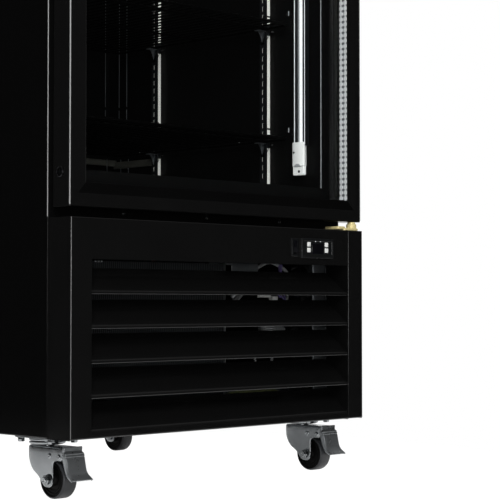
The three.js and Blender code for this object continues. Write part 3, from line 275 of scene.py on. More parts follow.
# Pieces. A look is the name of a finish.


def placed(mesh, name, look, slot, body, replaces=(), bevel=0.0, angle=32, smooth=35):
    """Gives a mesh its object, finish, shading, body and bevel"""
    mesh.materials.clear()
    mesh.materials.append(finish(look))
    mesh.shade_smooth()
    mesh.set_sharp_from_angle(angle=math.radians(smooth))
    item = bpy.data.objects.new(name, mesh)
    bpy.context.scene.collection.objects.link(item)
    if bevel:
        edge = item.modifiers.new("edges", "BEVEL")
        edge.width = bevel * MM
        edge.segments = 2
        edge.limit_method = "ANGLE"
        edge.angle_limit = math.radians(angle)
        edge.use_clamp_overlap = True
        edge.harden_normals = True
    if replaces:
        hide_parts(*replaces)
    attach(item, body)
    return item


def piece(name, forms, look, slot, body="cabinet", replaces=(), **more):
    """Puts forms into one mesh object at the origin, with its finish, its body and its bevel"""
    points, faces = joined(forms) if isinstance(forms, list) else forms
    mesh = bpy.data.meshes.new(name)
    mesh.from_pydata((points * MM).tolist(), [], faces)
    mesh.update()
    return placed(mesh, name, look, slot, body, replaces, **more)


def flat_shaded(item):
    """Large faces keep flat normals beside their rounded edges"""
    flat = item.modifiers.new("normals", "WEIGHTED_NORMAL")
    flat.keep_sharp = True


def sheet_piece(name, form, gauge, *rest, **more):
    """A piece of thin sheet: the form is its outer skin, and the gauge lies behind it"""
    item = piece(name, form, *rest, **more)
    wall = item.modifiers.new("gauge", "SOLIDIFY")
    wall.thickness, wall.offset = gauge * MM, -1.0
    flat_shaded(item)
    return item


def second_finish(item, look, chosen):
    """Gives a second finish to the faces whose centre, in millimetres, is chosen"""
    item.data.materials.append(finish(look))
    faces = item.data.polygons
    centre = np.zeros(len(faces) * 3, np.float32)
    faces.foreach_get("center", centre)
    mask = chosen(*(centre.reshape(-1, 3).T / MM))
    faces.foreach_set("material_index", mask.astype(np.int32))


def softened(node, name, look, slot, outer, inner, body="cabinet"):
    """A copy of a sheet part's CAD mesh with rolled edges: doubles merged, flat faces joined and
    cut anew into triangles where they have many corners, and a bevel that is wide on the edges of
    the part's own box and narrow on the rest"""
    double, on_box = 2e-6, 2e-4
    level, fold = math.radians(0.8), math.radians(25)
    mesh = frame["nodes"][node].data.copy()
    shape = bmesh.new()
    shape.from_mesh(mesh)
    bmesh.ops.remove_doubles(shape, verts=shape.verts, dist=double)
    bmesh.ops.dissolve_limit(shape, angle_limit=level, verts=shape.verts, edges=shape.edges)
    bmesh.ops.triangulate(shape, faces=[face for face in shape.faces if len(face.verts) > 4])
    lo, hi = low(node) * MM, high(node) * MM
    shape.edges.ensure_lookup_table()
    layers, key = shape.edges.layers.float, "bevel_weight_edge"
    weight = layers.get(key) or layers.new(key)
    for edge in shape.edges:
        if len(edge.link_faces) != 2 or edge.calc_face_angle(0) < fold:
            continue
        near = [any(all(abs(v.co[k] - face[k]) < on_box for v in edge.verts) for face in (lo, hi))
                for k in range(3)]
        edge[weight] = 1.0 if sum(near) >= 2 else inner / outer
    shape.to_mesh(mesh)
    shape.free()
    item = placed(mesh, name, look, slot, body, (node,))
    edge = item.modifiers.new("edges", "BEVEL")
    edge.width = outer * MM
    edge.segments = 3
    edge.limit_method = "WEIGHT"
    edge.use_clamp_overlap = False
    flat_shaded(item)


def keep(node, look):
    """A CAD node whose shape is right keeps its mesh and takes a finish"""
    item = frame["nodes"][node]
    if item.material_slots:
        for held in item.material_slots:
            held.material = finish(look)
    else:
        item.data.materials.append(finish(look))


# Finishes


def linear(code):
    """An sRGB hex colour as linear red, green and blue, with alpha 1"""
    parts = [int(code[n : n + 2], 16) / 255 for n in (1, 3, 5)]
    parts = [c / 12.92 if c <= 0.04045 else ((c + 0.055) / 1.055) ** 2.4 for c in parts]
    return (*parts, 1.0)


def shade(colour):
    """A hex colour or a property's colour as linear red, green, blue and alpha"""
    return linear(colour) if isinstance(colour, str) else (*colour[:3], 1.0)


def add_node(tree, kind, values=None, links=None, **settings):
    """Adds a shader node with its settings, socket values and links"""
    node = tree.nodes.new("ShaderNode" + kind)
    for name, value in settings.items():
        setattr(node, name, value)
    for socket, value in (values or {}).items():
        node.inputs[socket].default_value = value
    for socket, source in (links or {}).items():
        tree.links.new(source, node.inputs[socket])
    return node


def new_finish(name, colour, roughness, metallic=0.0, **sockets):
    """A material with its shader set: returns material, node tree and shader"""
    material = bpy.data.materials.new(name)
    material.use_nodes = True
    tree = material.node_tree
    shader = tree.nodes["Principled BSDF"]
    shader.inputs["Base Color"].default_value = shade(colour)
    shader.inputs["Roughness"].default_value = roughness
    shader.inputs["Metallic"].default_value = metallic
    for socket, value in sockets.items():
        shader.inputs[socket.replace("_", " ")].default_value = value
    return material, tree, shader


def grained(name, colour, roughness, metallic, grain=2.0, height=0.02, cloud=70.0, tone=0.12,
            spread=0.06, stretch=(1, 1, 1), gloss=0.5, **sockets):
    """A coated, moulded or plated surface: fine noise of the grain's size in millimetres for the
    bump, broad noise of the cloud's size that lightens and darkens the colour and the roughness a
    little"""
    material, tree, shader = new_finish(name, colour, roughness, metallic,
                                        Specular_IOR_Level=gloss, **sockets)
    place = add_node(tree, "TexCoord").outputs["Object"]
    along = add_node(tree, "Mapping", {"Scale": stretch}, {"Vector": place})
    fine = add_node(tree, "TexNoise", {"Scale": 1000 / grain, "Detail": 3.0},
                    {"Vector": along.outputs[0]})
    broad = add_node(tree, "TexNoise", {"Scale": 1000 / cloud, "Detail": 5.0}, {"Vector": place})
    base = np.array(shade(colour))[:3]
    tones = add_node(tree, "Mix", None, {0: broad.outputs[0]}, data_type="RGBA")
    for socket, value in ((6, base * (1 - tone)), (7, base * (1 + tone))):
        tones.inputs[socket].default_value = (*value, 1)
    tree.links.new(tones.outputs[2], shader.inputs["Base Color"])
    matt = add_node(tree, "MapRange", {"From Min": 0.3, "From Max": 0.7,
                                       "To Min": roughness - spread, "To Max": roughness + spread},
                    {"Value": broad.outputs[0]})
    tree.links.new(matt.outputs[0], shader.inputs["Roughness"])
    bump = add_node(tree, "Bump", {"Strength": 0.6, "Distance": height * MM},
                    {"Height": fine.outputs[0]})
    tree.links.new(bump.outputs[0], shader.inputs["Normal"])
    return material


def make_finishes():
    """All grained finishes of the case: look, material, colour, roughness, metallic and grain"""
    sizes = bpy.context.scene.case_sizes
    rows = (
        # Satin black powder coat on sheet steel: deep black with a faint orange peel in highlights;
        # set darker than the front coat: painted shade on the case
        ("powder_coat", "satin_black_powder_coat", sizes.case_colour, 0.16, 0.0,
         dict(grain=2.2, height=0.006, tone=0.05, spread=0.006, gloss=0.3)),
        # The same coat on the front panels in a lighter black, as painted light on the front; their
        # drawn edges catch a little more light
        ("front_coat", "satin_black_front_coat", sizes.front_colour, 0.16, 0.0,
         dict(grain=2.2, height=0.006, tone=0.12, spread=0.02, gloss=0.4)),
        # Painted highlight on a fold of the coat: a lighter grey stands for the light the rolled
        # edge catches
        ("bright_edge", "coat_fold_painted_highlight", "#3e3e3e", 0.3, 0.0,
         dict(grain=2.2, height=0.004, tone=0.1, gloss=0.8)),
        # Painted highlight on the corners of case and door: a clear grey line
        ("pale_edge", "bright_corner_of_coat", "#808080", 0.3, 0.0,
         dict(grain=2.2, height=0.004, tone=0.1, gloss=0.8)),
        # Black anodised aluminium door profile: drawn lengthwise, a little brighter than the coat
        ("door_profile", "black_door_profile", sizes.door_colour, 0.15, 0.0,
         dict(grain=1.4, height=0.005, tone=0.08, spread=0.02, gloss=0.5)),
        # Painted shade: matt black on the profile's inner lip behind the glass, on the bottom
        # rail's round edge and slope near the middle, and in the gland's bore
        ("inner_lip", "matt_black_inner_lip", "#030303", 0.6, 0.0,
         dict(grain=1.4, height=0.005, gloss=0.05)),
        # Black coated liner sheet: matt, with the faint grain of stucco
        ("liner", "black_liner_sheet", sizes.liner_colour, 0.55, 0.0,
         dict(grain=3.0, height=0.02, gloss=0.1)),
        # Black ABS: moulded with a fine spark eroded grain
        ("abs", "black_abs_moulding", "#08090a", 0.3, 0.0,
         dict(grain=0.8, height=0.006, cloud=20, IOR=1.53, gloss=0.35)),
        # Dark grey ABS: the raised rim and sill of the controller's face
        ("rim_abs", "dark_grey_rim_abs", "#090a0a", 0.4, 0.0,
         dict(grain=0.8, height=0.006, cloud=20, IOR=1.53, gloss=0.25)),
        # Glossy black ABS: the display window's smoked face and the rocker
        ("gloss_abs", "smoked_display_window", "#050507", 0.12, 0.0,
         dict(grain=1.5, height=0.004, cloud=15, IOR=1.53)),
        # White ABS: lamp caps and evaporator housing
        ("white_abs", "white_abs_moulding", "#dcdddb", 0.4, 0.0,
         dict(grain=0.8, height=0.01, cloud=30, tone=0.04, IOR=1.53)),
        # Grey white ABS: the controller's keys, with small blotches of lighter and darker tone
        ("key_abs", "grey_white_key_abs", sizes.key_colour, 0.4, 0.0,
         dict(grain=0.8, height=0.01, cloud=6, tone=0.1, IOR=1.53)),
        # Grey zinc coated sheet: frosted spangle
        ("galvanised", "galvanised_sheet", "#7d8184", 0.4, 0.9,
         dict(grain=6.0, height=0.01, cloud=14, tone=0.18, spread=0.1)),
        # Expanded foam: pale, dusty, with closed cells
        ("foam", "polyurethane_foam", "#cdbb8a", 0.9, 0.0, dict(grain=1.2, height=0.2, cloud=25)),
        # Zinc plated steel: cool grey with soft cloudy shine
        ("zinc", "bright_zinc_plate", "#9c9fa1", 0.22, 1.0,
         dict(grain=1.2, height=0.002, cloud=16, tone=0.1, spread=0.05, stretch=(1, 1, 0.2))),
        # Zinc plate of the pedals, darker than the forks' zinc as painted shade, and duller
        ("pedal_zinc", "tumbled_zinc_plate", "#85888a", 0.3, 0.88,
         dict(grain=1.2, height=0.004, cloud=14, tone=0.12)),
        # Yellow passivated zinc: pale gold with a greenish cast
        ("yellow_zinc", "yellow_passivated_zinc", "#d2c48f", 0.4, 0.45,
         dict(grain=1.0, height=0.01, cloud=7, tone=0.2, spread=0.08)),
        # Mill finish aluminium: the coils' end plates and fins that show bare, drawn lengthwise
        ("aluminium", "mill_aluminium", "#b9bcbf", 0.36, 1.0,
         dict(grain=1.2, height=0.01, cloud=20, tone=0.1, stretch=(1, 1, 0.08))),
        # Fins deep in the condenser: aluminium painted nearly black, as painted shade between the
        # fins
        ("dark_aluminium", "fin_aluminium_painted_shade", "#0c0d0e", 0.6, 0.3,
         dict(grain=1.2, height=0.01, cloud=15, tone=0.2)),
        # Copper tube: pinkish, tarnished in patches
        ("copper", "drawn_copper", "#b87058", 0.32, 1.0,
         dict(grain=1.5, height=0.01, cloud=12, tone=0.2)),
        # Extruded rubber: gasket and gland, dead matt
        ("rubber", "black_gasket_rubber", "#050505", 0.8, 0.0,
         dict(grain=0.6, height=0.02, cloud=30, gloss=0.1)),
        # Black nylon wheel hub: deep black between its rings
        ("hub", "black_nylon_hub", "#040404", 0.4, 0.0,
         dict(grain=0.8, height=0.006, cloud=18, tone=0.2, gloss=0.08)),
        # Wheel tyre: grey black moulded polyurethane
        ("wheel", "black_polyurethane_tyre", "#1c1d1f", 0.35, 0.0,
         dict(grain=0.8, height=0.01, cloud=18, tone=0.2, gloss=0.4)),
        # Light grey with a soft shine: painted highlight on the lamp rail's lips, and the
        # controller's lamps
        ("lamp_rail", "light_grey_lamps_and_lip_highlight", "#c9ccce", 0.35, 0.0,
         dict(grain=1.0, height=0.008, cloud=20, tone=0.05, stretch=(1, 1, 0.1))),
        # Dark anodised aluminium: the lamp's channel, nearly black with a soft shine
        ("dark_anodised", "dark_anodised_channel", "#1b1d1f", 0.35, 0.6,
         dict(grain=1.0, height=0.004, cloud=20)),
        # Black nickel of the lock: dark, with a small glint on its rims
        ("lock", "black_nickel_lock", "#38383a", 0.3, 1.0, dict(grain=0.8, height=0.004, cloud=8)),
        # Zinc coated pilaster strip, darkened inside the case as painted shade
        ("pilaster_face", "pilaster_strip_painted_shade", "#26282a", 0.4, 0.8,
         dict(grain=1.2, height=0.006, cloud=25, tone=0.2)),
        # The strip's cut edges and its front flange, near white: painted highlight
        ("pilaster_edge", "bright_pilaster_edge", "#f2f1ea", 0.55, 0.35,
         dict(grain=1.2, height=0.006, cloud=25, tone=0.05)),
        # Grey coated gutter: satin, darker than the trim
        ("gutter", "grey_coated_gutter", "#2e2e2a", 0.5, 0.0,
         dict(grain=1.2, height=0.006, cloud=30)),
        # Mid grey: painted highlight on the beads at the opening's sides, painted shade on the lamp
        # caps' recesses, and the wall's ticks and the lamp's reflector
        ("trim", "grey_breaker_trim", "#8f9294", 0.35, 0.0,
         dict(grain=1.0, height=0.004, cloud=30, tone=0.08, IOR=1.54)),
        # Lighter front edge of the condenser's fins: painted highlight, the only part of a fin
        # drawn lit
        ("fin_edge", "bright_fin_edge", "#484b4d", 0.5, 0.5,
         dict(grain=1.2, height=0.01, cloud=15, tone=0.25)),
        # Painted tube: copper under grey lacquer
        ("grey_tube", "lacquered_grey_tube", "#8d8f90", 0.35, 0.5,
         dict(grain=1.0, height=0.006, cloud=14, tone=0.12)),
        # Wire sleeves of the leads: violet PVC
        ("violet_sleeve", "violet_pvc_sleeve", "#3f3560", 0.45, 0.0,
         dict(grain=0.8, height=0.006, cloud=12, IOR=1.54)),
        # Sleeve of the earth lead: yellow and green PVC, seen as one dull green
        ("earth_sleeve", "yellow_green_pvc_sleeve", "#6b7048", 0.45, 0.0,
         dict(grain=0.8, height=0.006, cloud=12, tone=0.3, IOR=1.54)),
        # Plastic coated wire: satin black with a soft shine along the wire
        ("wire", "black_coated_wire", "#020202", 0.6, 0.0,
         dict(grain=1.0, height=0.01, cloud=20, gloss=0.03)),
    )
    return {look: grained(name, colour, roughness, metallic, **more)
            for look, name, colour, roughness, metallic, more in rows}


def make_glass(name, tint):
    """Clear float glass with a faint ripple. A dark tint of its mirror image makes it reflect less
    than plain glass, and light for shadows and diffuse rays passes, so that the case is lit
    inside"""
    material, tree, shader = new_finish(
        name, "#fdfefe", 0.0, IOR=1.45, Specular_IOR_Level=0.3, Transmission_Weight=1.0,
        Specular_Tint=linear(tint))
    place = add_node(tree, "TexCoord")
    ripple = add_node(tree, "TexNoise", {"Scale": 6.0, "Detail": 2.0},
                      {"Vector": place.outputs["Object"]})
    bump = add_node(tree, "Bump", {"Strength": 0.03, "Distance": 0.02 * MM},
                    {"Height": ripple.outputs[0]})
    tree.links.new(bump.outputs[0], shader.inputs["Normal"])
    clear = add_node(tree, "BsdfTransparent", {"Color": linear("#fefefe")})
    path = add_node(tree, "LightPath").outputs
    either = add_node(tree, "Math", None, {0: path["Is Shadow Ray"], 1: path["Is Diffuse Ray"]},
                      operation="MAXIMUM")
    mixed = add_node(tree, "MixShader", None,
                     {0: either.outputs[0], 1: shader.outputs[0], 2: clear.outputs[0]})
    tree.links.new(mixed.outputs[0], tree.nodes["Material Output"].inputs["Surface"])
    return material


def make_diffuser():
    """Milky polycarbonate: the lamp's cover glows evenly over its length"""
    material, tree, shader = new_finish("milky_lamp_cover", "#c0c2c2", 0.5, IOR=1.58)
    place = add_node(tree, "TexCoord")
    cloud = add_node(tree, "TexNoise", {"Scale": 40.0}, {"Vector": place.outputs["Object"]})
    level = bpy.context.scene.case_sizes.lamp_level
    glow = add_node(tree, "MapRange", {"To Min": level * 0.94, "To Max": level * 1.06},
                    {"Value": cloud.outputs[0]})
    shader.inputs["Emission Color"].default_value = linear("#fbfdff")
    tree.links.new(glow.outputs[0], shader.inputs["Emission Strength"])
    return material


def make_spacer():
    """Perforated aluminium spacer: bright, with two rows of small breathing holes along each bar,
    painted as darker dots: painted shade in the holes
    """
    material, tree, shader = new_finish("perforated_spacer_bar", "#c4c8cb", 0.38, 0.3)
    place = add_node(tree, "TexCoord")
    part = add_node(tree, "SeparateXYZ", None, {0: place.outputs["Object"]})
    # The holes are really 1 mm wide and 3 mm apart; here 2 mm and 5 mm, so that they show
    across, along = [add_node(tree, "Math", {1: 1 / (pitch * MM)}, {0: part.outputs[axis]},
                              operation="MULTIPLY") for pitch, axis in ((3.1, "Y"), (5.0, "Z"))]
    waves = [add_node(tree, "Math", {1: 1.0}, {0: item.outputs[0]}, operation="PINGPONG")
             for item in (across, along)]
    both = add_node(tree, "Math", None, {0: waves[0].outputs[0], 1: waves[1].outputs[0]},
                    operation="MULTIPLY")
    hole = add_node(tree, "MapRange", {"From Min": 0.42, "From Max": 0.55},
                    {"Value": both.outputs[0]})
    # Painted shade: each hole is a darker dot
    tone = add_node(tree, "Mix", None, {0: hole.outputs[0]}, data_type="RGBA")
    tone.inputs[6].default_value = linear("#c4c7c8")
    tone.inputs[7].default_value = linear("#505356")
    tree.links.new(tone.outputs[2], shader.inputs["Base Color"])
    return material


# Every finish by its look, filled when the first one is asked for
FINISH = {}


def finish(look):
    """A finish by name, made with all the others when the first one is asked for"""
    if not FINISH:
        FINISH.update(make_finishes())
        FINISH["glass"] = make_glass("clear_float_glass", "#505050")
        FINISH["coated_glass"] = make_glass("low_reflection_glass", "#202020")
        FINISH["diffuser"] = make_diffuser()
        FINISH["spacer"] = make_spacer()
    return FINISH[look]


class CaseSizes(bpy.types.PropertyGroup):
    """Sizes and colours that a user of the display case would change"""

    fin_pitch: bpy.props.FloatProperty(
        name="Fin pitch", description="Distance between the condenser's fins", default=0.0042,
        unit="LENGTH")
    wire: bpy.props.FloatProperty(
        name="Shelf wire", description="Thickness of the shelves' thin wires", default=0.0032,
        unit="LENGTH")
    rod: bpy.props.FloatProperty(
        name="Shelf rod", description="Thickness of the rod round each shelf", default=0.005,
        unit="LENGTH")
    gauge: bpy.props.FloatProperty(
        name="Sheet gauge", description="Thickness of the front's folded sheets", default=0.0012,
        unit="LENGTH")
    fold: bpy.props.FloatProperty(
        name="Fold radius", description="Radius of the folds at the front sheets' edges",
        default=0.0018, unit="LENGTH")
    slats: bpy.props.IntProperty(
        name="Slats", description="Number of slats in the louvred panel", default=5, min=1)
    shelf_wires: bpy.props.IntProperty(
        name="Shelf wires", description="Thin wires in each shelf", default=28, min=2)
    # The case and front colours are one coat: the case's set darker as painted shade, the front's
    # lighter as painted light
    case_colour: bpy.props.FloatVectorProperty(
        name="Case colour", description="Powder coat of the outer case",
        default=linear("#040404")[:3], subtype="COLOR")
    front_colour: bpy.props.FloatVectorProperty(
        name="Front colour", description="Powder coat of the front sheets",
        default=linear("#080808")[:3], subtype="COLOR")
    door_colour: bpy.props.FloatVectorProperty(
        name="Door colour", description="Colour of the door's profile",
        default=linear("#080808")[:3], subtype="COLOR")
    liner_colour: bpy.props.FloatVectorProperty(
        name="Liner colour", description="Coat of the liner sheet",
        default=linear("#050505")[:3], subtype="COLOR")
    key_colour: bpy.props.FloatVectorProperty(
        name="Key colour", description="Plastic of the controller's keys",
        default=linear("#a9aaa8")[:3], subtype="COLOR")
    lamp_level: bpy.props.FloatProperty(
        name="Lamp level", description="How brightly the lamp's tube glows", default=0.48, min=0.0,
        subtype="FACTOR")


class CASE_OT_stage(bpy.types.Operator):
    """Floor, world, lamps and camera"""

    bl_idname = "case.stage"
    bl_label = "Stage"

    def execute(self, context):
        scene = context.scene
        scene.view_settings.view_transform = "Standard"
        make_world(scene)
        make_floor()
        make_lamps()
        make_camera(scene)
        return {"FINISHED"}


def make_world(scene):
    """White to the camera and straight through glass; a studio that is dark towards the sides and
    in front for gloss, with a white wall behind the case; plain and even for diffuse light"""
    world = bpy.data.worlds.new("studio")
    scene.world = world
    world.use_nodes = True
    tree = world.node_tree
    even = tree.nodes["Background"]
    even.inputs["Color"].default_value = (1, 1, 1, 1)
    even.inputs["Strength"].default_value = 0.45
    place = add_node(tree, "TexCoord").outputs["Generated"]
    toward = add_node(tree, "VectorMath", {1: (0.66, 0.72, -0.2)}, {0: place},
                      operation="DOT_PRODUCT")
    wall = add_node(tree, "MapRange", {"From Min": 0.45, "From Max": 0.8, "To Min": 0.0,
                                       "To Max": 1.0}, {"Value": toward.outputs["Value"]})
    dark = add_node(tree, "VectorMath", {1: (0.695, -0.719, 0.0)}, {0: place},
                    operation="DOT_PRODUCT").outputs["Value"]
    room = add_node(tree, "MapRange", {"From Min": -0.6, "From Max": 0.6, "To Min": 0.01,
                                       "To Max": 0.05}, {"Value": dark})
    well = add_node(tree, "MapRange", {"From Min": 0.9, "From Max": 0.985, "To Min": 0.0,
                                       "To Max": -0.043}, {"Value": dark})
    height = add_node(tree, "SeparateXYZ", None, {0: place})
    ceiling = add_node(tree, "MapRange", {"From Min": 0.5, "From Max": 0.85, "To Min": 0.0,
                                          "To Max": 0.35}, {"Value": height.outputs["Z"]})
    under = add_node(tree, "Math", None, {0: well.outputs[0], 1: ceiling.outputs[0]},
                     operation="ADD")
    sides = add_node(tree, "Math", None, {0: room.outputs[0], 1: under.outputs[0]},
                     operation="ADD")
    level = add_node(tree, "Math", None, {0: sides.outputs[0], 1: wall.outputs[0]},
                     operation="ADD")
    gloss = add_node(tree, "Background", None, {"Strength": level.outputs[0]})
    white = add_node(tree, "Background", {"Color": (1, 1, 1, 1), "Strength": 1.0})
    path = add_node(tree, "LightPath").outputs
    shiny = add_node(tree, "Math", None, {0: path["Is Glossy Ray"], 1: path["Is Transmission Ray"]},
                     operation="MAXIMUM")
    first = add_node(tree, "MixShader", None,
                     {0: shiny.outputs[0], 1: even.outputs[0], 2: gloss.outputs[0]})
    mirrored = add_node(tree, "Math", {1: 0.5}, {0: path["Glossy Depth"]},
                        operation="GREATER_THAN")
    through = add_node(tree, "Math", None, {0: path["Is Transmission Ray"], 1: mirrored.outputs[0]},
                       operation="SUBTRACT")
    seen = add_node(tree, "Math", None, {0: path["Is Camera Ray"], 1: through.outputs[0]},
                    operation="MAXIMUM")
    last = add_node(tree, "MixShader", None,
                    {0: seen.outputs[0], 1: first.outputs[0], 2: white.outputs[0]})
    tree.links.new(last.outputs[0], tree.nodes["World Output"].inputs["Surface"])


def make_floor():
    """A round pale floor: a disc whose rows are circles of growing radius"""
    steps = 64
    radius = np.array([0.0005, 0.3, 0.6, 0.85])[:, None]
    angle = np.linspace(0, 2 * math.pi, steps, endpoint=False)[None]
    level = np.zeros((len(radius), steps))
    points = np.stack([radius * np.cos(angle), radius * np.sin(angle), level], -1)
    index = np.arange(level.size).reshape(level.shape)
    inner, outer = index[:-1], index[1:]
    ring = np.stack([inner, outer, np.roll(outer, -1, 1), np.roll(inner, -1, 1)], -1)
    faces = ring.reshape(-1, 4).tolist() + [index[0].tolist()]
    mesh = bpy.data.meshes.new("floor")
    mesh.from_pydata(points.reshape(-1, 3).tolist(), [], faces)
    material, tree, shader = new_finish("pale_floor", "#f4f4f4", 0.8, Specular_IOR_Level=0.1)
    place = add_node(tree, "TexCoord")
    cloud = add_node(tree, "TexNoise", {"Scale": 3.0}, {"Vector": place.outputs["Object"]})
    tone = add_node(tree, "MapRange", {"To Min": 0.78, "To Max": 0.82}, {"Value": cloud.outputs[0]})
    tree.links.new(tone.outputs[0], shader.inputs["Roughness"])
    white = add_node(tree, "Emission", {"Color": (1, 1, 1, 1), "Strength": 1.12})
    path = add_node(tree, "LightPath").outputs
    seen = add_node(tree, "Math", None, {0: path["Is Camera Ray"], 1: path["Is Transmission Ray"]},
                    operation="MAXIMUM")
    part = add_node(tree, "Math", {1: 0.14}, {0: path["Is Glossy Ray"]}, operation="MULTIPLY")
    also = add_node(tree, "Math", None, {0: seen.outputs[0], 1: part.outputs[0]},
                    operation="MAXIMUM")
    share = add_node(tree, "Math", {1: 0.9}, {0: also.outputs[0]}, operation="MULTIPLY")
    mixed = add_node(tree, "MixShader", None,
                     {0: share.outputs[0], 1: shader.outputs[0], 2: white.outputs[0]})
    tree.links.new(mixed.outputs[0], tree.nodes["Material Output"].inputs["Surface"])
    mesh.materials.append(material)
    floor = bpy.data.objects.new("floor", mesh)
    bpy.context.scene.collection.objects.link(floor)


def lamp(name, at, toward, width, height, power, hidden=""):
    """A softbox of a width and height at a place, turned to a point, and hidden from some rays"""
    light = bpy.data.lights.new(name, "AREA")
    light.shape = "RECTANGLE"
    light.size, light.size_y, light.energy = width, height, power
    item = bpy.data.objects.new(name, light)
    item.location = at
    item.rotation_euler = (Vector(toward) - Vector(at)).to_track_quat("-Z", "Y").to_euler()
    bpy.context.scene.collection.objects.link(item)
    for ray in hidden.split():
        setattr(item, "visible_" + ray, False)


def make_lamps():
    """Softboxes round the case and above it, and the case's own lamp. Most are hidden from gloss
    and glass, where they would stand as white blocks"""
    middle = (0, 0, 0.9)
    mirror, all_rays = "glossy transmission", "camera glossy transmission"
    lamp("camera_softbox", (-2.6, -3.0, 2.4), middle, 1.6, 1.6, 190, mirror)
    lamp("low_softbox", (-2.5, -2.9, 0.42), (0, 0, 0.1), 1.6, 0.5, 22, "transmission")
    lamp("front_softbox", (-0.3, -3.2, 1.0), (0, 0, 0.6), 0.5, 2.2, 22, mirror)
    lamp("edge_strip", (-2.75, -3.15, 1.1), middle, 0.35, 2.2, 40, mirror)
    lamp("rear_softbox", (1.2, 3.6, 1.6), middle, 1.6, 2.4, 70, all_rays)
    lamp("right_softbox", (3.6, 1.4, 1.6), middle, 1.4, 2.4, 60, all_rays)
    lamp("overhead_softbox", (0.2, -0.4, 4.2), (0, 0, 1.0), 2.2, 2.2, 60, "transmission")
    lo, hi = ends("lamp_cover")
    at = Vector((lo[0] + 3.0, (lo[1] + hi[1]) / 2 + 2.5, (lo[2] + hi[2]) / 2)) * MM
    lamp("case_lamp", at, at + Vector((-1, 0, 0)), 0.014, (hi[2] - lo[2]) * MM, 0.9, all_rays)


def make_camera(scene):
    """The photograph's view, fitted to the edges that it shows"""
    data = bpy.data.cameras.new("camera")
    data.lens, data.sensor_width = 112.89, 36.0
    data.clip_start, data.clip_end = 0.05, 50
    item = bpy.data.objects.new("camera", data)
    item.location = (-1.8627, -2.2034, 0.3062)
    item.rotation_euler = (math.radians(91.965), 0, math.radians(-45.666))
    scene.collection.objects.link(item)
    scene.camera = item


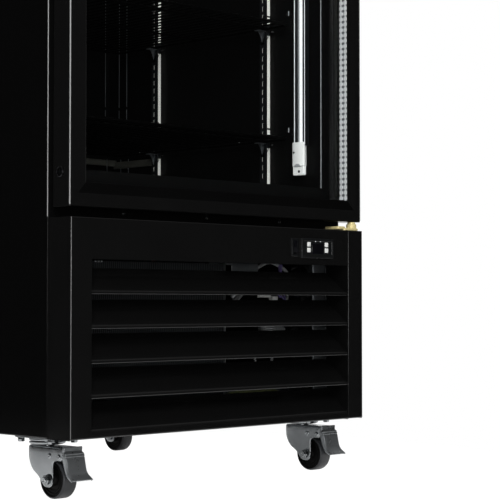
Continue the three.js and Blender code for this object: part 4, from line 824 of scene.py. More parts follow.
class CASE_OT_cabinet(bpy.types.Operator):
    """Outer case, header, louvred panel, stile and base"""

    bl_idname = "case.cabinet"
    bl_label = "Cabinet"

    def execute(self, context):
        softened("outer_case", "outer_case_sheet", "powder_coat", "black_steel", 1.6, 0.3)
        lo, hi = ends("outer_case")
        # Painted highlight: grey beads in the case's two front corners
        width = 1.8
        rim, foot = hi[0] - width, high("louvre_panel")[2] + 2
        beads = [slab(side * rim, side * hi[0], lo[1], lo[1] + width, foot, hi[2] - 3, 0.7, "z",
                      0.2, 5) for side in (-1, 1)]
        piece("case_edge_beads", beads, "pale_edge", "black_steel", smooth=60)
        top = high("rear_grille")[2]
        lip = slab(lo[0] + 2, hi[0] - 2, hi[1] - 9, hi[1] - 7.8, top - 8, top + 3.5, 0.4, "y", 0.2)
        piece("rear_opening_lip", lip, "powder_coat", "black_steel")
        gauge = context.scene.case_sizes.gauge / MM
        for node, name in (("header_panel", "header_sheet"), ("hinge_side_stile", "stile_sheet")):
            lo, hi = ends(node)
            sheet_piece(name, pan(lo[0], hi[0], lo[2], hi[2], lo[1], hi[1]), gauge, "front_coat",
                        "black_steel", replaces=(node,))
        self.louvres()
        softened("base_floor", "base_sheet", "galvanised", "zinc", 1.0, 0.3)
        self.grille()
        flange, height = low("inner_liner")[1], 452.5
        head = [(0.8, flange), (3.4, flange), (3.2, flange - 1.0), (2.0, flange - 1.7),
                (0.4, flange - 1.8)]
        screws = [lathe(head, "y", (x, 0, height), 16) for x in (-187, 0.5, 181)]
        piece("front_flange_screws", screws, "zinc", "zinc")
        return {"FINISHED"}

    def grille(self):
        """The rear plate: a skin with rolled edges and eight long slots, a blade leaning in from
        the top of each slot, and the mains lead's gland, a closed profile turned about its bore"""
        lo, hi = ends("rear_grille")
        margin, count, pitch, height, flange = 70, 8, 30, 9, 8
        face, half = hi[1] - 0.6, hi[0] - margin
        starts = lo[2] + margin + pitch * np.arange(count)
        holes = [(-half, half, start, start + height) for start in starts]
        skin = pan(-hi[0], -lo[0], lo[2], hi[2], -face, -face + flange, holes=holes)
        sheet_piece("rear_grille_sheet", half_turned(skin), PLATE_GAUGE, "powder_coat",
                    "black_steel", replaces=("rear_grille",))
        blade = np.array([(-0.2, 9.6), (-1.4, 9.4), (-8.4, 1.0), (-8.4, -1.6), (-7.4, -1.6),
                          (-7.4, 0.6), (-0.9, 8.4), (-0.2, 8.6)])
        blades = [prism(blade + [face, start], "x", -half - 1, half + 1) for start in starts]
        piece("rear_grille_blades", blades, "powder_coat", "black_steel", smooth=40)
        centre = (hi[0] - 60, 0, lo[2] + 20)
        ring = [(6, lo[1]), (6, hi[1] - 0.7), (6.8, hi[1]), (13.2, hi[1]), (14, hi[1] - 0.5),
                (14, face - 1.6), (10, face - 2), (10, lo[1] + 1), (9, lo[1])]
        piece("lead_gland", lathe(ring, "y", centre, 32, closed=True), "rubber", "black_plastic",
              smooth=40)
        # Painted shade: a matt black disc fills the gland's bore
        bore = [(5.8, face + 0.2), (3.0, face + 0.1), (0.3, face + 0.1)]
        piece("lead_bore", lathe(bore, "y", centre, 24), "inner_lip", "black_plastic")

    def louvres(self):
        """The folded front panel with one wide opening, two cheeks beside it, and its slats: each
        slat is an outline, leaning back from its rolled lip, pushed across the opening"""
        lo, hi = ends("louvre_panel")
        front, half = lo[1], LOUVRE_HALF
        sizes = bpy.context.scene.case_sizes
        bottom, top, count = lo[2] + 7.8, hi[2] - 64.7, sizes.slats
        skin = pan(lo[0], hi[0], lo[2], hi[2], front, hi[1], "lbt",
                   holes=((-half, half, bottom, top),))
        item = sheet_piece("louvre_frame", skin, sizes.gauge / MM, "front_coat", "black_steel",
                           replaces=("louvre_panel",))
        # Painted highlight: the panel's front-left fold takes the lighter grey
        bend = 1.4
        second_finish(item, "bright_edge", lambda x, y, z: (
            (x < lo[0] + bend) & (y < front + bend) & (z > lo[2] + 2)))
        pitch, first_gap, next_gap, depth, lap = (top - bottom) / count, 14, 10, 52, 0.8
        slats = []
        for n in range(count):
            edge = top - pitch * (n + 1)
            back = top - pitch * n - (first_gap if n == 0 else next_gap)
            outline = [(1.4, edge + 2.2), (1.4, edge + 0.9), (1.0, edge + 0.2), (0.5, edge),
                       (0.1, edge + 0.4), (0.0, edge + 1.2), (0.0, edge + 2.6), (0.4, edge + 4.0),
                       (1.2, edge + 5.2), (3.2, edge + 5.2 + (back - edge - 6.1) * 2 / 49.3),
                       (50.5, back - 0.9), (51.6, back - 0.3), (depth, back + 0.4),
                       (depth, back + 1.4), (51.0, back + 1.6), (50.4, back - 0.3),
                       (2.4, edge + 4.6)]
            if n == count - 1:
                outline = [(0.2, edge - 0.6), (0.2, edge + 1.0), *outline[8:16],
                           (3.4, edge + 2.6), (1.6, edge - 0.6)]
            slats.append(prism(np.array(outline) + [front, 0], "x", -half - lap, half + lap))
        cheeks = [slab(side * half, side * (half + PLATE_GAUGE), front + 0.2, front + depth,
                       bottom - 1, top + 1) for side in (-1, 1)]
        piece("louvre_slats", slats, "front_coat", "black_steel", smooth=40)
        piece("louvre_cheeks", cheeks, "liner", "black_steel", smooth=40)
        deck_half, below = 341, low("insulation")[2]
        deck = slab(-deck_half, deck_half, low("outer_case")[1] + 1.5, high("insulation")[1],
                    below - 1.0, below - 0.1, 2.0)
        piece("compartment_deck", deck, "powder_coat", "black_steel")


class CASE_OT_door(bpy.types.Operator):
    """Door: mitred frame, three panes with perforated spacers, gasket, handle and lock"""

    bl_idname = "case.door"
    bl_label = "Door"

    def execute(self, context):
        lo, hi = ends("door_frame")
        front, back = lo[1], hi[1]
        pane_lo, pane_hi = low("outer_pane"), high("inner_pane")
        seat_gap = 0.3
        edge_x, edge_z = pane_lo[0] - lo[0] - seat_gap, pane_lo[2] - lo[2] - seat_gap
        lip, seat = pane_lo[1] - seat_gap, pane_hi[1] + seat_gap
        profile = [
            (0, back, 0), (0, front + 3.0, 0), (0.23, front + 1.85, 0.23),
            (0.88, front + 0.88, 0.88), (1.85, front + 0.23, 1.85), (3.0, front, 3.0),
            (16, front, 20), (17, front + 0.3, 21), (33.6, lip - 0.5, 38.1), (34.5, lip, 39),
            (edge_x, lip, edge_z), (edge_x, seat, edge_z), (34.5, seat, 39),
            (34.5, back - 1, 39), (33.5, back, 38),
        ]
        item = piece("door_profile", ring_frame(lo[0], hi[0], lo[2], hi[2], profile),
                     "door_profile", "black_steel", "door", ("door_frame",), bevel=0.25, angle=20,
                     smooth=25)
        # Painted shade: the inner lip and the bottom rail's middle take the matt black
        second_finish(item, "inner_lip", lambda x, y, z: (
            ((y > seat - 0.1) & (abs(x) < 320))
            | ((y > front + 0.2) & (y < lip) & (abs(x) < 50) & (z < lo[2] + 40))))
        # Painted highlight: grey beads in the door's two front corners
        rim = hi[0] - 2.0
        beads = [slab(side * rim, side * (rim + 1.95), front + 0.05, front + 2.0, lo[2] + 3,
                      hi[2] - 3, 0.7, "z", 0.2, 5) for side in (-1, 1)]
        piece("door_edge_beads", beads, "pale_edge", "black_steel", "door", smooth=60)
        keep("outer_pane", "glass")
        keep("inner_pane", "coated_glass")
        self.spacers()
        lo, hi = ends("door_gasket")
        y0, y1 = lo[1], hi[1]
        fold = y1 - y0
        rows = [(1, y0), (17, y0), (16, y0 + 0.2 * fold), (18, y0 + 0.42 * fold),
                (16, y0 + 0.62 * fold), (17.8, y0 + 0.84 * fold), (15, y1), (3, y1),
                (0.2, y0 + 0.84 * fold), (2, y0 + 0.62 * fold), (0, y0 + 0.42 * fold),
                (2, y0 + 0.2 * fold)]
        piece("gasket_bellows", ring_frame(lo[0], hi[0], lo[2], hi[2], rows), "rubber", "rubber",
              "door", ("door_gasket",), smooth=60)
        self.handle()
        self.lock()
        return {"FINISHED"}

    def spacers(self):
        """Two hollow bars round the panes with the middle pane between them"""
        lo, hi = ends("glass_spacer")
        middle = (lo[1] + hi[1]) / 2
        bars = (("outer_spacer_bar", lo[1], middle - 2.3, ("glass_spacer",)),
                ("inner_spacer_bar", middle + 2.3, hi[1], ()))
        for name, y0, y1, replaces in bars:
            rows = [(0, y0), (0, y1), (6.2, y1), (7, y1 - 0.8), (7, y0 + 0.8), (6.2, y0)]
            piece(name, ring_frame(lo[0], hi[0], lo[2], hi[2], rows), "spacer", "aluminium", "door",
                  replaces)
        inset = 2.5
        pane = slab(lo[0] + inset, hi[0] - inset, middle - 2, middle + 2, lo[2] + inset,
                    hi[2] - inset, 0.4, "y")
        piece("middle_pane", pane, "coated_glass", "glass", "door")

    def handle(self):
        """A flat upright grip with round edges on two feet, each foot on a thin base plate"""
        lo, hi = ends("door_handle")
        x, width = (lo[0] + hi[0]) / 2, hi[0] - lo[0]
        foot = width * 0.38
        parts = [slab(lo[0], hi[0], lo[1], lo[1] + 12, lo[2], hi[2], 4.5, "z", 2.0, 5)]
        for z in (lo[2] + 13, hi[2] - 13):
            parts += [slab(x - foot, x + foot, lo[1] + 9, hi[1], z - 11, z + 11, 4, "y", 0.6),
                      slab(x - width / 2, x + width / 2, hi[1] - 3, hi[1], z - 13, z + 13, 5, "y",
                           0.8)]
        piece("handle_grip", parts, "abs", "black_plastic", "door", ("door_handle",), smooth=40)

    def lock(self):
        """A round plug in a rimmed head, with its keyway across the face as a black bar: painted
        shade of the slot
        """
        lo, hi = ends("lock_plug")
        y, z = (lo[1] + hi[1]) / 2, (lo[2] + hi[2]) / 2
        face = lo[0]
        rows = [(6.9, hi[0]), (6.9, face + 2.6), (8.3, face + 2.5), (8.4, face + 0.7),
                (7.8, face), (6.6, face), (6.2, face + 0.5), (0.3, face + 0.5)]
        piece("lock_face", lathe(rows, "x", (0, y, z), 36), "lock", "zinc", "lock", ("lock_plug",))
        keyway = slab(face + 0.35, face + 1.5, y - 0.8, y + 0.8, z - 3.6, z + 3.6, 0.5, "x")
        piece("lock_keyway", keyway, "abs", "black_plastic", "lock")


class CASE_OT_hinges(bpy.types.Operator):
    """Hinge brackets with their pins, bushes and bolts"""

    bl_idname = "case.hinges"
    bl_label = "Hinges"

    def execute(self, context):
        for node, up in (("bottom_hinge_bracket", 1), ("top_hinge_bracket", -1)):
            self.bracket(node, up)
        return {"FINISHED"}

    def bracket(self, node, up):
        """A plate with a turned pin, a stepped bush and two bolts, built upwards from its base or
        downwards; the lower one has two more straps"""
        lo, hi = ends(node)
        base, far = (lo[2], hi[2]) if up > 0 else (hi[2], lo[2])

        def z(rise):
            return base + up * rise

        def turned(rows, place, steps):
            return lathe([(radius, z(rise)) for radius, rise in rows], "z", (*place, 0), steps)

        pin = (hi[0] - 10, lo[1] + 10)
        parts = [slab(lo[0], hi[0], lo[1], hi[1], z(0), z(4), 5, "z", 0.5),
                 lathe([(5, z(0.5)), (5, far - up * 1.2), (4, far)], "z", (*pin, 0), 24),
                 turned([(9.4, 4), (9.4, 11), (8.6, 11.8), (7.2, 11.8), (7.2, 15.2), (5.1, 15.4)],
                        pin, 28)]
        for bolt in ((lo[0] + 11, lo[1] + 30), (hi[0] - 11, lo[1] + 38)):
            parts.append(turned([(6, 4), (6, 5.2), (5.2, 7.6), (3, 8.3), (0.4, 8.4)], bolt, 20))
        if up > 0:
            parts += [slab(lo[0] - 15, lo[0] + 6, lo[1] + 2, lo[1] + 36, z(1.6), z(6.8), 4, "z",
                           0.8),
                      slab(lo[0] - 10, lo[0] + 8, lo[1] + 20, lo[1] + 38, z(0), z(3.4), 3, "z",
                           0.5)]
        piece(node + "_plate", parts, "yellow_zinc", "yellow_zinc", replaces=(node,), smooth=30)


class CASE_OT_store(bpy.types.Operator):
    """Storage space: liner, pilasters with clips, shelves, lamp and duct panel"""

    bl_idname = "case.store"
    bl_label = "Storage space"

    def execute(self, context):
        softened("rear_duct_panel", "duct_sheet", "liner", "black_liner", 1.0, 0.3)
        front, foot, head = low("inner_liner")[1], 519.5, 1895
        # Painted highlight: grey beads at the sides of the opening stand for the light on the
        # liner's edges
        beads = [prism(circle(0.8, 10) + [side * (STORE_HALF + 0.4), front + 6.0], "z", foot, head)
                 for side in (-1, 1)]
        piece("opening_trim", beads, "trim", "grey_plastic", smooth=60)
        self.wall_details()
        for corner in CORNERS:
            self.pilaster(corner)
        for number in SHELVES:
            self.shelf(f"wire_shelf_{number}", f"shelf_{number}")
        self.lamp()
        return {"FINISHED"}

    def wall_details(self):
        """The gutter at the foot of the rear and right walls, three thin corner strips broken where
        the pilasters are, and small light grey ticks on the right wall: all thin prisms"""
        wall, rear = LINER_WALL, LINER_REAR
        gutter = [slab(-250, wall, rear - 5, rear, 594.5, 607, 1.0, "x", 0.5),
                  slab(wall - 5, wall, 186, rear, 589, 603, 1.0, "y", 0.5)]
        piece("wall_gutter", gutter, "gutter", "black_liner")
        lowest, lowest_step = 575, 6
        strips = []
        for x, y in ((266.6, rear - 0.8), (wall - 0.8, 293), (wall - 0.8, 269)):
            for z0, z1 in ((lowest, 608), (659, 674), (679, 712), (718, 1045), (1100, 1300)):
                ahead = lowest_step if z0 == lowest else 0
                strips.append(prism(circle(0.7, 8) + [x, y - ahead], "z", z0, z1))
        piece("corner_strips", strips, "galvanised", "aluminium", smooth=60)
        places = ((83, 648), (83, 620), (228, 620), (-62, 621), (-193, 633), (-193, 854))
        hooks = [slab(wall - 1.6, wall, y - 0.8, y + 0.8, z - 4.5, z + 4.5, 0.5, "x", 0.3)
                 for y, z in places]
        piece("wall_hooks", hooks, "trim", "zinc")

    def pilaster(self, corner):
        """A channel of thin sheet: five strips across its face, the middle one open at each slot;
        and the bent clips under each shelf"""
        node = "pilaster_" + corner
        lo, hi = ends(node)
        side = -1 if corner.endswith("left") else 1
        wall = hi[0] if side > 0 else lo[0]
        face = wall - side * 8
        y = (lo[1] + hi[1]) / 2
        across = np.array([(wall, y - 10), (face + side * 1.2, y - 10), (face, y - 9),
                           (face, y - 2), (face, y + 2), (face, y + 9),
                           (face + side * 1.2, y + 10), (wall, y + 10)])
        pitch, slot = 16.0, 9.0
        count = int((hi[2] - lo[2] - 20) // pitch)
        starts = lo[2] + 12 + pitch * np.arange(count)
        levels = np.sort(np.concatenate([[lo[2], hi[2]], starts, starts + slot]))
        points = np.zeros((len(levels), len(across), 3))
        points[..., 0], points[..., 1], points[..., 2] = across[:, 0], across[:, 1], levels[:, None]
        index = np.arange(points[..., 0].size).reshape(len(levels), len(across))
        cells = np.stack([index[:-1, :-1], index[1:, :-1], index[1:, 1:], index[:-1, 1:]], -1)
        solid = np.ones(cells.shape[:2], bool)
        solid[1::2, 3] = False
        cells = cells[solid]
        if side < 0:
            cells = cells[:, ::-1]
        item = sheet_piece(node + "_channel", (points.reshape(-1, 3), cells.tolist()), PLATE_GAUGE,
                           "pilaster_face", "aluminium", replaces=(node,))
        # Painted highlight on the slots' rims; painted shade on the face
        item.data.materials.append(finish("pilaster_edge"))
        item.modifiers["gauge"].material_offset_rim = 1
        bottoms = [low(f"wire_shelf_{number}")[2] for number in SHELVES]
        cuts = sorted(z + rise for z in bottoms for rise in (-10, 12, 25, 28.5) if z + rise < hi[2])
        runs = np.array([lo[2], *cuts, hi[2]][:2 * (len(cuts) // 2 + 1)]).reshape(-1, 2)
        # Painted highlight: the flange towards the front is near white
        flange = [slab(wall, face + side * 0.6, y - 10.6, y - 9.9, z0, z1, 0.3) for z0, z1 in runs]
        piece(node + "_flange", flange, "pilaster_edge", "aluminium")
        self.clips(node, bottoms, face, side, y)

    def clips(self, node, bottoms, face, side, y):
        """Under each shelf a bent plate with a tongue, and the edges of its arm and wing in
        brighter zinc
        as painted highlight: round outlines carried along power curves"""
        edges, plates = [], []
        share = np.linspace(0, 1, 9)
        for bottom in bottoms:
            top = bottom - 0.3
            tip = face - side * 21
            curve = np.column_stack([tip + (face - tip) * share ** 0.55, top - 26 * share ** 1.6])
            arm = np.column_stack([curve[:, 0], np.full(9, y + 2.0), curve[:, 1]])
            edges.append(sweep(arm, circle(0.7, 6), up=(0, 1, 0)))
            wing = np.column_stack([np.full(9, face + side * 0.2), y - 27 + 17 * share ** 0.6,
                                    top - 4 - 14 * share ** 1.8])
            edges.append(sweep(wing, circle(0.6, 6), up=(1, 0, 0)))
            outline = np.concatenate([curve, [(face, top - 0.4), (tip, top - 0.4)]])[:, ::-1]
            plates += [prism(outline, "y", y + 1.2, y + 2.6),
                       slab(tip, face + side * 2, y - 8, y + 4, top - 1.5, top - 0.2, 1.5)]
            edges.append(slab(face - side * 1.2, face - side * 0.1, y - 4, y + 6, top - 26,
                              top - 2, 1.5, "x"))
        piece(node + "_clips", plates, "galvanised", "zinc", smooth=40)
        piece(node + "_clip_edges", edges, "zinc", "zinc", smooth=50)

    def shelf(self, node, body):
        """A rod bent round the shelf, thin wires from front to back welded on it, and three cross
        rods"""
        lo, hi = ends(node)
        sizes = bpy.context.scene.case_sizes
        wire, rod = sizes.wire / MM, sizes.rod / MM
        z = lo[2] + rod / 2
        corner, margin = 14, 60
        outline = round_rectangle(hi[0] - lo[0] - rod, hi[1] - lo[1] - rod, corner, 6)
        hoop = outline + [(lo[0] + hi[0]) / 2, (lo[1] + hi[1]) / 2]
        forms = [sweep(np.column_stack([hoop, np.full(len(hoop), height)]), circle(radius, steps),
                       closed=True)
                 for height, radius, steps in ((z, rod / 2, 10), (z - 0.4, rod / 2 - 0.3, 8))]
        for y in np.linspace(lo[1] + margin, hi[1] - margin, 3):
            forms.append(lathe([(2.4, lo[0] + rod), (2.4, hi[0] - rod)], "x", (0, y, z), 8))
        top = hi[2] - wire / 2
        for x in np.linspace(lo[0] + 18, hi[0] - 18, sizes.shelf_wires):
            line = smooth_path([(x, lo[1] + 1.8, z - 0.6), (x, lo[1] + 1.2, top - 2),
                                (x, lo[1] + 6, top), (x, lo[1] + margin, top),
                                (x, hi[1] - margin, top), (x, hi[1] - 2, top)], 3)
            forms.append(sweep(line, circle(wire / 2, 6), up=(1, 0, 0)))
        piece(node + "_wires", forms, "wire", "black_steel", body, (node,), smooth=60)

    def lamp(self):
        """A dark channel whose two lips end in thin light grey rods as painted highlight, a glowing
        tube deep in it, and a cap at each end"""
        lo, hi = ends("lamp_channel")
        wall, tip, near, far = hi[0], hi[0] - 11.5, lo[1], hi[1] - 2.4
        z0, z1 = lo[2] + 55, hi[2] - 55
        rail = [(wall, near), (tip, near), (tip, near + 1.2), (wall - 2.6, near + 1.2),
                (wall - 1.4, near + 4), (wall - 1.4, far - 4), (wall - 2.6, far - 1.2),
                (tip, far - 1.2), (tip, far), (wall, far)]
        piece("lamp_rail", prism(rail, "z", z0, z1), "dark_anodised", "aluminium",
              replaces=("lamp_channel",))
        # Painted highlight: light grey rods on the rail's lips
        beads = [prism(circle(0.8, 10) + [tip, y], "z", z0, z1) for y in (near + 0.6, far - 0.6)]
        piece("lamp_rail_lips", beads, "lamp_rail", "aluminium", smooth=60)
        middle = (near + far) / 2 + 1.0
        back = slab(wall - 3.2, wall - 2.2, middle + 3.6, far - 1.4, z0, z1, 0.3)
        piece("lamp_reflector", back, "trim", "aluminium")
        tube = prism(circle(3.1, 20) + [wall - 6.4, middle], "z", z0 - 2, z1 + 2)
        piece("lamp_tube", tube, "diffuser", "white_plastic", replaces=("lamp_cover",), smooth=60)
        plan = np.array([(tip - 2.0, near + 5.0), (tip - 0.8, near + 2.6), (tip + 1.4, near + 2.0),
                         (wall, near + 6.5), (wall, far - 2), (tip + 0.5, far + 4.0),
                         (tip - 1.4, far + 3.2), (tip - 2.0, far + 1.6)])
        arch, face = np.linspace(0, math.pi, 9), tip - 0.4
        for end, foot, up in (("lower", lo[2], 1), ("upper", hi[2], -1)):
            name = f"lamp_cap_{end}"
            body = prism(plan, "z", foot + up * 17, foot + up * 62, 1.0)
            flange = slab(tip - 0.4, wall - 4, near + 3.5, far + 3.4, foot, foot + up * 20, 3.0,
                          "x", 0.9, 5)
            piece(name, [body, flange], "white_abs", "white_plastic", smooth=35)
            # Painted shade: a grey arch on the cap's white face stands for the shading of its
            # recess
            shade_arch = np.column_stack([middle + 3 - np.cos(arch) * 8,
                                    foot + up * (16.2 + 5.5 * np.sin(arch))])
            piece(name + "_recess", prism(shade_arch, "x", tip - 2.3, tip + 1, 0.4), "trim",
                  "grey_plastic", smooth=35)
            screw = lathe([(2.6, face + 0.8), (2.6, face - 0.1), (1.9, face - 0.6),
                           (0.4, face - 0.6)], "x", (0, middle, foot + up * 7), 16)
            piece(name + "_screw", screw, "zinc", "zinc")
            # Painted shade: a black disc on the cap stands for a small hole
            hole = lathe([(2.2, tip - 1.4), (2.2, tip - 2.04), (0.4, tip - 2.04)], "x",
                         (0, far - 0.6, foot + up * 43), 16)
            piece(name + "_hole", hole, "abs", "black_plastic")


class CASE_OT_controls(bpy.types.Operator):
    """Controller with display, keys and lamps, and the rocker switch"""

    bl_idname = "case.controls"
    bl_label = "Controls"

    def execute(self, context):
        lo, hi = ends("controller_case")
        x0, x1, z0, z1, face = lo[0], hi[0], lo[2], hi[2], lo[1]
        bezel = ring_frame(x0, x1, z0, z1, [
            (0, face + 3.2), (0, face + 1.0), (0.5, face + 0.25), (1.4, face), (4.2, face),
            (5.0, face + 0.8), (5.0, face + 3.2)])
        front = slab(x0 + 4.6, x1 - 4.6, face + 0.9, face + 3.2, z0 + 4.6, z1 - 4.6, 0.6, "y", 0.2)
        grip = slab(x0 + 1.2, x0 + 6.5, face - 0.5, face + 1.5, z0 + 1.0, z1 - 1.0, 2.2, "y", 0.5,
                    4)
        sill = slab(x0 + 8, x1 - 3.5, face - 0.2, face + 1.5, z0 + 1.4, z0 + 7.2, 0.8, "y", 0.25)
        piece("controller_rim", [grip, sill], "rim_abs", "black_plastic")
        body = slab(x0 + 4, x1 - 4, face + 3.0, hi[1], z0 + 4, z1 - 4, 1.5, "y", 0.8)
        piece("controller_bezel", [bezel, front, body], "abs", "black_plastic",
              replaces=("controller_case",), bevel=0.3)
        middle = (x0 + x1) / 2
        window = slab(middle - 15, middle + 15, face + 0.35, face + 1.5, z0 + 8, z1 - 8.5, 1.2,
                      "y", 0.25)
        piece("controller_window", window, "gloss_abs", "black_plastic")
        dot = [(1.3, face + 1.2), (1.3, face + 0.5), (0.7, face + 0.3), (0.2, face + 0.25)]
        dots = [lathe(dot, "y", (x, 0, z1 - 4.6), 12) for x in (middle - 5.6, middle + 7.2)]
        piece("controller_lamps", dots, "lamp_rail", "white_plastic")
        for number in KEYS:
            node = f"controller_key_{number}"
            lo, hi = ends(node)
            key = slab(lo[0] + 0.2, hi[0] - 1.2, lo[1], hi[1], lo[2] + 0.4, hi[2] - 0.9, 1.1, "y",
                       0.8, 4)
            piece(node + "_cap", key, "key_abs", "white_plastic", f"key_{number}", (node,),
                  smooth=40)
        softened("switch_frame", "switch_bezel", "abs", "black_plastic", 0.8, 0.25)
        softened("switch_rocker", "rocker_paddle", "gloss_abs", "black_plastic", 0.8, 0.3, "rocker")
        return {"FINISHED"}


class CASE_OT_unit(bpy.types.Operator):
    """Condensing unit behind the louvres"""

    bl_idname = "case.unit"
    bl_label = "Condensing unit"

    def execute(self, context):
        self.condenser()
        softened("condenser_shroud", "fan_shroud", "powder_coat", "black_steel", 1.0, 0.3)
        lo, hi = ends("electrical_box")
        # Painted shade: the box's body takes the black coat and only its lid the grey sheet
        body = slab(lo[0] + 0.8, hi[0], lo[1] + 3, hi[1], lo[2], hi[2], 2.0, "z", 0.8)
        piece("electrical_body_painted_shade", body, "powder_coat", "black_steel", replaces=("electrical_box",))
        lid = slab(lo[0], hi[0], lo[1], lo[1] + 4, lo[2] + 0.5, hi[2] - 0.5, 2.5, "y", 0.9)
        piece("electrical_lid", lid, "galvanised", "grey_plastic")
        keep("discharge_line", "grey_tube")
        self.pipework()
        self.leads()
        softened("condensate_pan", "drip_pan", "abs", "black_plastic", 1.5, 0.5)
        softened("evaporator_housing", "evaporator_cover", "white_abs", "white_plastic", 1.5, 0.4)
        return {"FINISHED"}

    def pipework(self):
        """Tubes, capillary and drier: smooth curves through their bends carry a round outline; the
        capillary is a helix; the drier is a turned profile"""
        line = smooth_path([
            (150, -190, 318), (172, -200, 338), (195, -200, 364), (218, -200, 377),
            (240, -200, 383), (261, -200, 378), (284, -200, 367), (298, -196, 350),
            (300, -190, 328), (294, -188, 300), (280, -186, 266), (268, -184, 232),
            (262, -184, 200), (262, -184, 121)], 6)
        short = smooth_path([(201, -200, 121), (201, -200, 190), (201.6, -200, 206),
                             (206, -198, 216), (216, -192, 222), (232, -190, 224),
                             (262, -186, 222)], 6)
        lean = (0.3, 1, 0.1)
        tubes = [sweep(line, circle(3.2, 12), up=lean), sweep(short, circle(2.4, 10), up=lean)]
        piece("liquid_line", tubes, "grey_tube", "copper", smooth=60)
        turn = np.linspace(0, 10 * math.pi, 121)
        radius, rise, start = 15, 0.52, 249
        coil = np.column_stack([231.5 + radius * np.cos(turn), -200 + radius * np.sin(turn),
                                start + turn * rise])
        tail = smooth_path([(246.5, -200, start - 3), (247, -198, 240), (262, -186, 232)], 5)
        capillary = [sweep(coil, circle(1.1, 8)), sweep(tail, circle(1.1, 8), up=(0, 1, 0))]
        piece("capillary_tube", capillary, "grey_tube", "copper", smooth=60)
        rows = [(2.5, 248), (2.5, 252), (7.5, 255), (8.5, 257)]
        for start in (257, 263, 269, 275, 281):
            rows += [(8.5, start + 3.2), (9.6, start + 3.6), (9.6, start + 5.2), (8.5, start + 5.6)]
        rows += [(8.5, 287), (7.5, 289), (2.5, 292), (2.5, 297)]
        piece("filter_drier", lathe(rows, "x", (0, -184, 259), 20), "grey_tube", "copper",
              smooth=40)

    def leads(self):
        """Leads with their plug, the relay's bracket, the unit's rail and the earth lead: swept
        round outlines and thin blocks"""
        leads = []
        for shift in (0.0, 4.2, -3.6):
            path = smooth_path([
                (262, -206 + shift, 379), (264 + shift, -205, 340), (266 + shift * 2, -204, 322),
                (276, -204 - shift, 313 - shift), (288 + shift, -206, 300), (284.8, -212, 280)], 6)
            leads.append(sweep(path, circle(1.9, 8), up=(0.2, 1, 0.1)))
        piece("violet_leads", leads, "violet_sleeve", "black_plastic", smooth=60)
        plug = [slab(239.5, 254.0, -208, -198, 308, 320, 1.5, "y", 0.6),
                slab(205, 240, -203.5, -202, 318, 322, 0.5, "y")]
        piece("lead_plug", plug, "key_abs", "white_plastic")
        bracket = [slab(137, 205, -204, -202, 361.5, 380, 1.0, "y", 0.4),
                   slab(80.5, 138, -204, -202, 376, 380, 0.8, "y", 0.4),
                   slab(137, 205, -204, -192, 378.5, 380, 0.6, "z", 0.3)]
        piece("relay_bracket", bracket, "galvanised", "zinc")
        rail = [slab(96, 284, -208, -190, 150, 152, 1.0, "y", 0.4),
                slab(96, 284, -208, -206, 138, 152, 1.0, "y", 0.4)]
        rail += [slab(x, x + 24, -208, -190, 119, 151, 1.0, "z", 0.4) for x in (98, 258)]
        piece("unit_rail", rail, "galvanised", "zinc")
        earth = smooth_path([(84, -214, 122), (110, -214, 140), (136, -214, 148),
                             (180, -214, 147.5), (229, -214, 148.5), (252, -214, 140),
                             (286, -214, 128)], 8)
        piece("earth_lead", sweep(earth, circle(3.2, 10), up=(0, 1, 0.2)), "earth_sleeve",
              "black_plastic", smooth=60)

    def condenser(self):
        """Thin upright fins, nearly black as painted shade, between two end plates, with lighter
        front edges as painted highlight, and tubes through them"""
        lo, hi = ends("condenser_coil")
        pitch = bpy.context.scene.case_sizes.fin_pitch / MM
        x = np.arange(lo[0] + 4, hi[0] - 4, pitch)
        corner = np.array([(0, 0), (0.35, 0), (0.35, 1), (0, 1)])
        points = np.zeros((len(x), 2, 4, 3))
        points[..., 0] = (x[:, None] + corner[:, 0])[:, None]
        points[..., 1] = lo[1] + 1 + corner[:, 1] * (hi[1] - lo[1] - 2)
        points[:, 0, :, 2], points[:, 1, :, 2] = lo[2] + 3, hi[2] - 3
        box = np.array([(0, 1, 2, 3), (7, 6, 5, 4), (0, 4, 5, 1), (1, 5, 6, 2), (2, 6, 7, 3),
                        (3, 7, 4, 0)])
        faces = (np.arange(len(x))[:, None, None] * 8 + box).reshape(-1, 4).tolist()
        edges = points.copy()
        edges[..., 1] = np.where(corner[:, 1] > 0, lo[1] + 1.2, lo[1] + 0.2)
        edges[..., 0] += np.where(corner[:, 0] > 0, 0.2, -0.1)
        # Painted highlight on thin strips round the fins' fronts, painted shade on the fins
        for name, corners, look, replaces in (
                ("condenser_fin_edges", edges, "fin_edge", ()),
                ("condenser_fins", points, "dark_aluminium", ("condenser_coil",))):
            piece(name, (corners.reshape(-1, 3), faces), look, "aluminium", replaces=replaces,
                  smooth=20)
        plates = [slab(hi[0] - 3, hi[0] - 1.5, lo[1], hi[1], lo[2], hi[2], 1.0, "x"),
                  slab(lo[0] + 1.5, lo[0] + 3, lo[1], hi[1], lo[2], hi[2], 1.0, "x")]
        levels = np.arange(lo[2] + 22, hi[2] - 12, 25.4)
        tubes = [lathe([(4.4, lo[0] + 2), (4.4, hi[0] - 2)], "x", (0, y, z), 8)
                 for y in (lo[1] + 11, hi[1] - 11) for z in levels]
        rivet = [(1.5, lo[1] + 2), (1.5, lo[1] - 0.4), (0.4, lo[1] - 0.8)]
        rivets = [lathe(rivet, "y", (place, 0, 375.8), 10) for place in (-217, -210.4, -204)]
        piece("condenser_plates", plates + rivets, "aluminium", "aluminium")
        piece("condenser_tubes", tubes, "copper", "copper")


